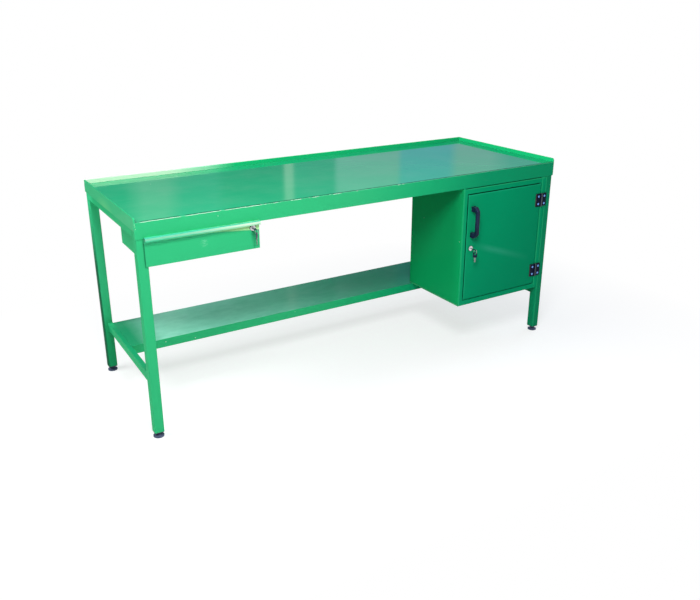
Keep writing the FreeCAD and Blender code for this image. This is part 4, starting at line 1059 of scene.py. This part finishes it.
# Name, place, target, width and height, watts and colour
LAMPS = [
    ("near_softbox", (-0.95, -1.75, 2.3), (-0.35, -0.3, 0.5), 0.8, 0.8, 61, (1.0, 1.0, 1.04)),
    ("high_softbox", (-3.0, 0.5, 3.5), (0.0, 0.0, 0.8), 2.0, 2.0, 118, (1.0, 1.0, 1.0)),
    ("top_softbox", (0.3, 0.2, 3.6), (0.3, 0.0, 0.8), 2.4, 2.4, 14, (1.0, 1.0, 1.1)),
    ("right_softbox", (3.6, 0.6, 2.2), (0.5, 0.0, 0.6), 1.6, 1.6, 25, (0.7, 0.9, 1.2)),
]
BACKDROP_SIZE = (14.0, 5.0, 1.0)
BACKDROP_CENTRE = (2.0, 3.0, 2.5)
# Soft upright bands on the backdrop: the colour of each, and from where to where along X it is even
CARD_DARK = (0.09, 0.15, 0.20, 1.0)
CARD_DIM = (0.14, 0.24, 0.31, 1.0)
CARD_GREY = (0.32, 0.34, 0.41, 1.0)
CARD_WHITE = (0.53, 0.56, 0.58, 1.0)
CARD_PALE = (0.39, 0.44, 0.59, 1.0)
CARD_BLUE = (0.23, 0.38, 0.70, 1.0)
CARD_SLATE = (0.23, 0.35, 0.49, 1.0)
BANDS = [
    (CARD_DARK, -0.60, -0.16), (CARD_GREY, -0.01, 0.17), (CARD_DIM, 0.32, 0.59), (CARD_DARK, 0.70, 1.23),
    (CARD_WHITE, 1.26, 1.32), (CARD_DIM, 1.35, 1.74), (CARD_PALE, 1.79, 2.45), (CARD_BLUE, 2.50, 3.07),
    (CARD_PALE, 3.18, 3.60), (CARD_SLATE, 3.90, 5.00),
]


def seen_rays(tree):
    """Mask of what the camera, reflections and clear materials see."""
    path = tree.add("ShaderNodeLightPath").outputs
    return tree.either(path["Is Camera Ray"], path["Is Glossy Ray"], path["Is Transmission Ray"])


def make_floor():
    """White floor that keeps the bench's soft shadow and fades out to plain white around it."""
    floor = start_piece("floor", bpy.ops.mesh.primitive_plane_add, size=40.0)
    material, tree, surface, place = new_material("pale_floor")
    x, y, _ = tree.axes(place)
    away_x = tree.math("MAXIMUM", tree.math("SUBTRACT", tree.math("ABSOLUTE", x), HALF_LENGTH), 0.0)
    away_y = tree.math("MAXIMUM", tree.math("SUBTRACT", tree.math("ABSOLUTE", y), HALF_DEPTH), 0.0)
    away = tree.math("SQRT", tree.math("ADD", tree.math("POWER", away_x, 2.0), tree.math("POWER", away_y, 2.0)))
    falloff = tree.ramp(away, *SHADOW_FADE)
    seen = seen_rays(tree)
    tree.feed(tree.mix(seen, FLOOR_GREY, tree.mix(falloff, FLOOR_SHADOW, BLACK)), surface["Base Color"])
    surface["Roughness"].default_value = 0.9
    surface["Specular IOR Level"].default_value = 0.0
    surface["Emission Color"].default_value = WHITE
    tree.feed(tree.both(seen, tree.ramp(falloff, 0.0, 1.0, 0.70, 1.0)), surface["Emission Strength"])
    floor.data.materials.append(material)


def make_world():
    """White to the camera and in reflections, and a soft bluish fill elsewhere."""
    world = bpy.data.worlds.new("studio")
    bpy.context.scene.world = world
    world.use_nodes = True
    tree = Tree(world.node_tree)
    tree.nodes.clear()
    seen = seen_rays(tree)
    strength = tree.ramp(seen, 0.0, 1.0, WORLD_LEVEL, 1.0)
    colour = tree.mix(seen, WORLD_TINT, WHITE)
    background = tree.add("ShaderNodeBackground", {"Color": colour, "Strength": strength})
    output = tree.add("ShaderNodeOutputWorld")
    tree.links.new(background.outputs[0], output.inputs[0])


def make_backdrop():
    """Grey banded studio wall behind the bench, seen only in its reflections."""
    wall = start_piece("backdrop", bpy.ops.mesh.primitive_plane_add, size=1.0)
    edit_faces(wall, lambda face: True)
    bpy.ops.transform.resize(value=BACKDROP_SIZE)
    finish_edit()
    wall.rotation_euler = (math.radians(90), 0, 0)
    wall.location = BACKDROP_CENTRE
    settle(wall)
    material, tree, surface, place = new_material("backdrop_bands")
    edges = [(edge, colour) for colour, start, end in BANDS for edge in (start, end)]
    first, last = edges[0][0], edges[-1][0]
    level = tree.add("ShaderNodeValToRGB", {0: tree.ramp(tree.axes(place)[0], first, last)})
    stops = level.color_ramp.elements
    while len(stops) < len(edges):
        stops.new(0.5)
    for stop, (edge, colour) in zip(stops, edges):
        stop.position = (edge - first) / (last - first)
        stop.color = colour
    surface["Base Color"].default_value = BLACK
    surface["Specular IOR Level"].default_value = 0.0
    tree.feed(level.outputs[0], surface["Emission Color"])
    surface["Emission Strength"].default_value = 1.0
    wall.data.materials.append(material)
    wall.visible_camera = False
    wall.visible_diffuse = False
    wall.visible_transmission = False
    wall.visible_shadow = False


def make_softbox(name, place, target, width, height, watts, colour):
    """Rectangular lamp aimed at a target and left out of reflections."""
    data = bpy.data.lights.new(name, "AREA")
    data.shape = "RECTANGLE"
    data.size = width
    data.size_y = height
    data.energy = watts
    data.color = colour
    lamp = bpy.data.objects.new(name, data)
    bpy.context.scene.collection.objects.link(lamp)
    lamp.location = place
    lamp.rotation_euler = (Vector(target) - Vector(place)).to_track_quat("-Z", "Y").to_euler()
    lamp.visible_glossy = False


make_floor()
make_world()
make_backdrop()
for lamp in LAMPS:
    make_softbox(*lamp)
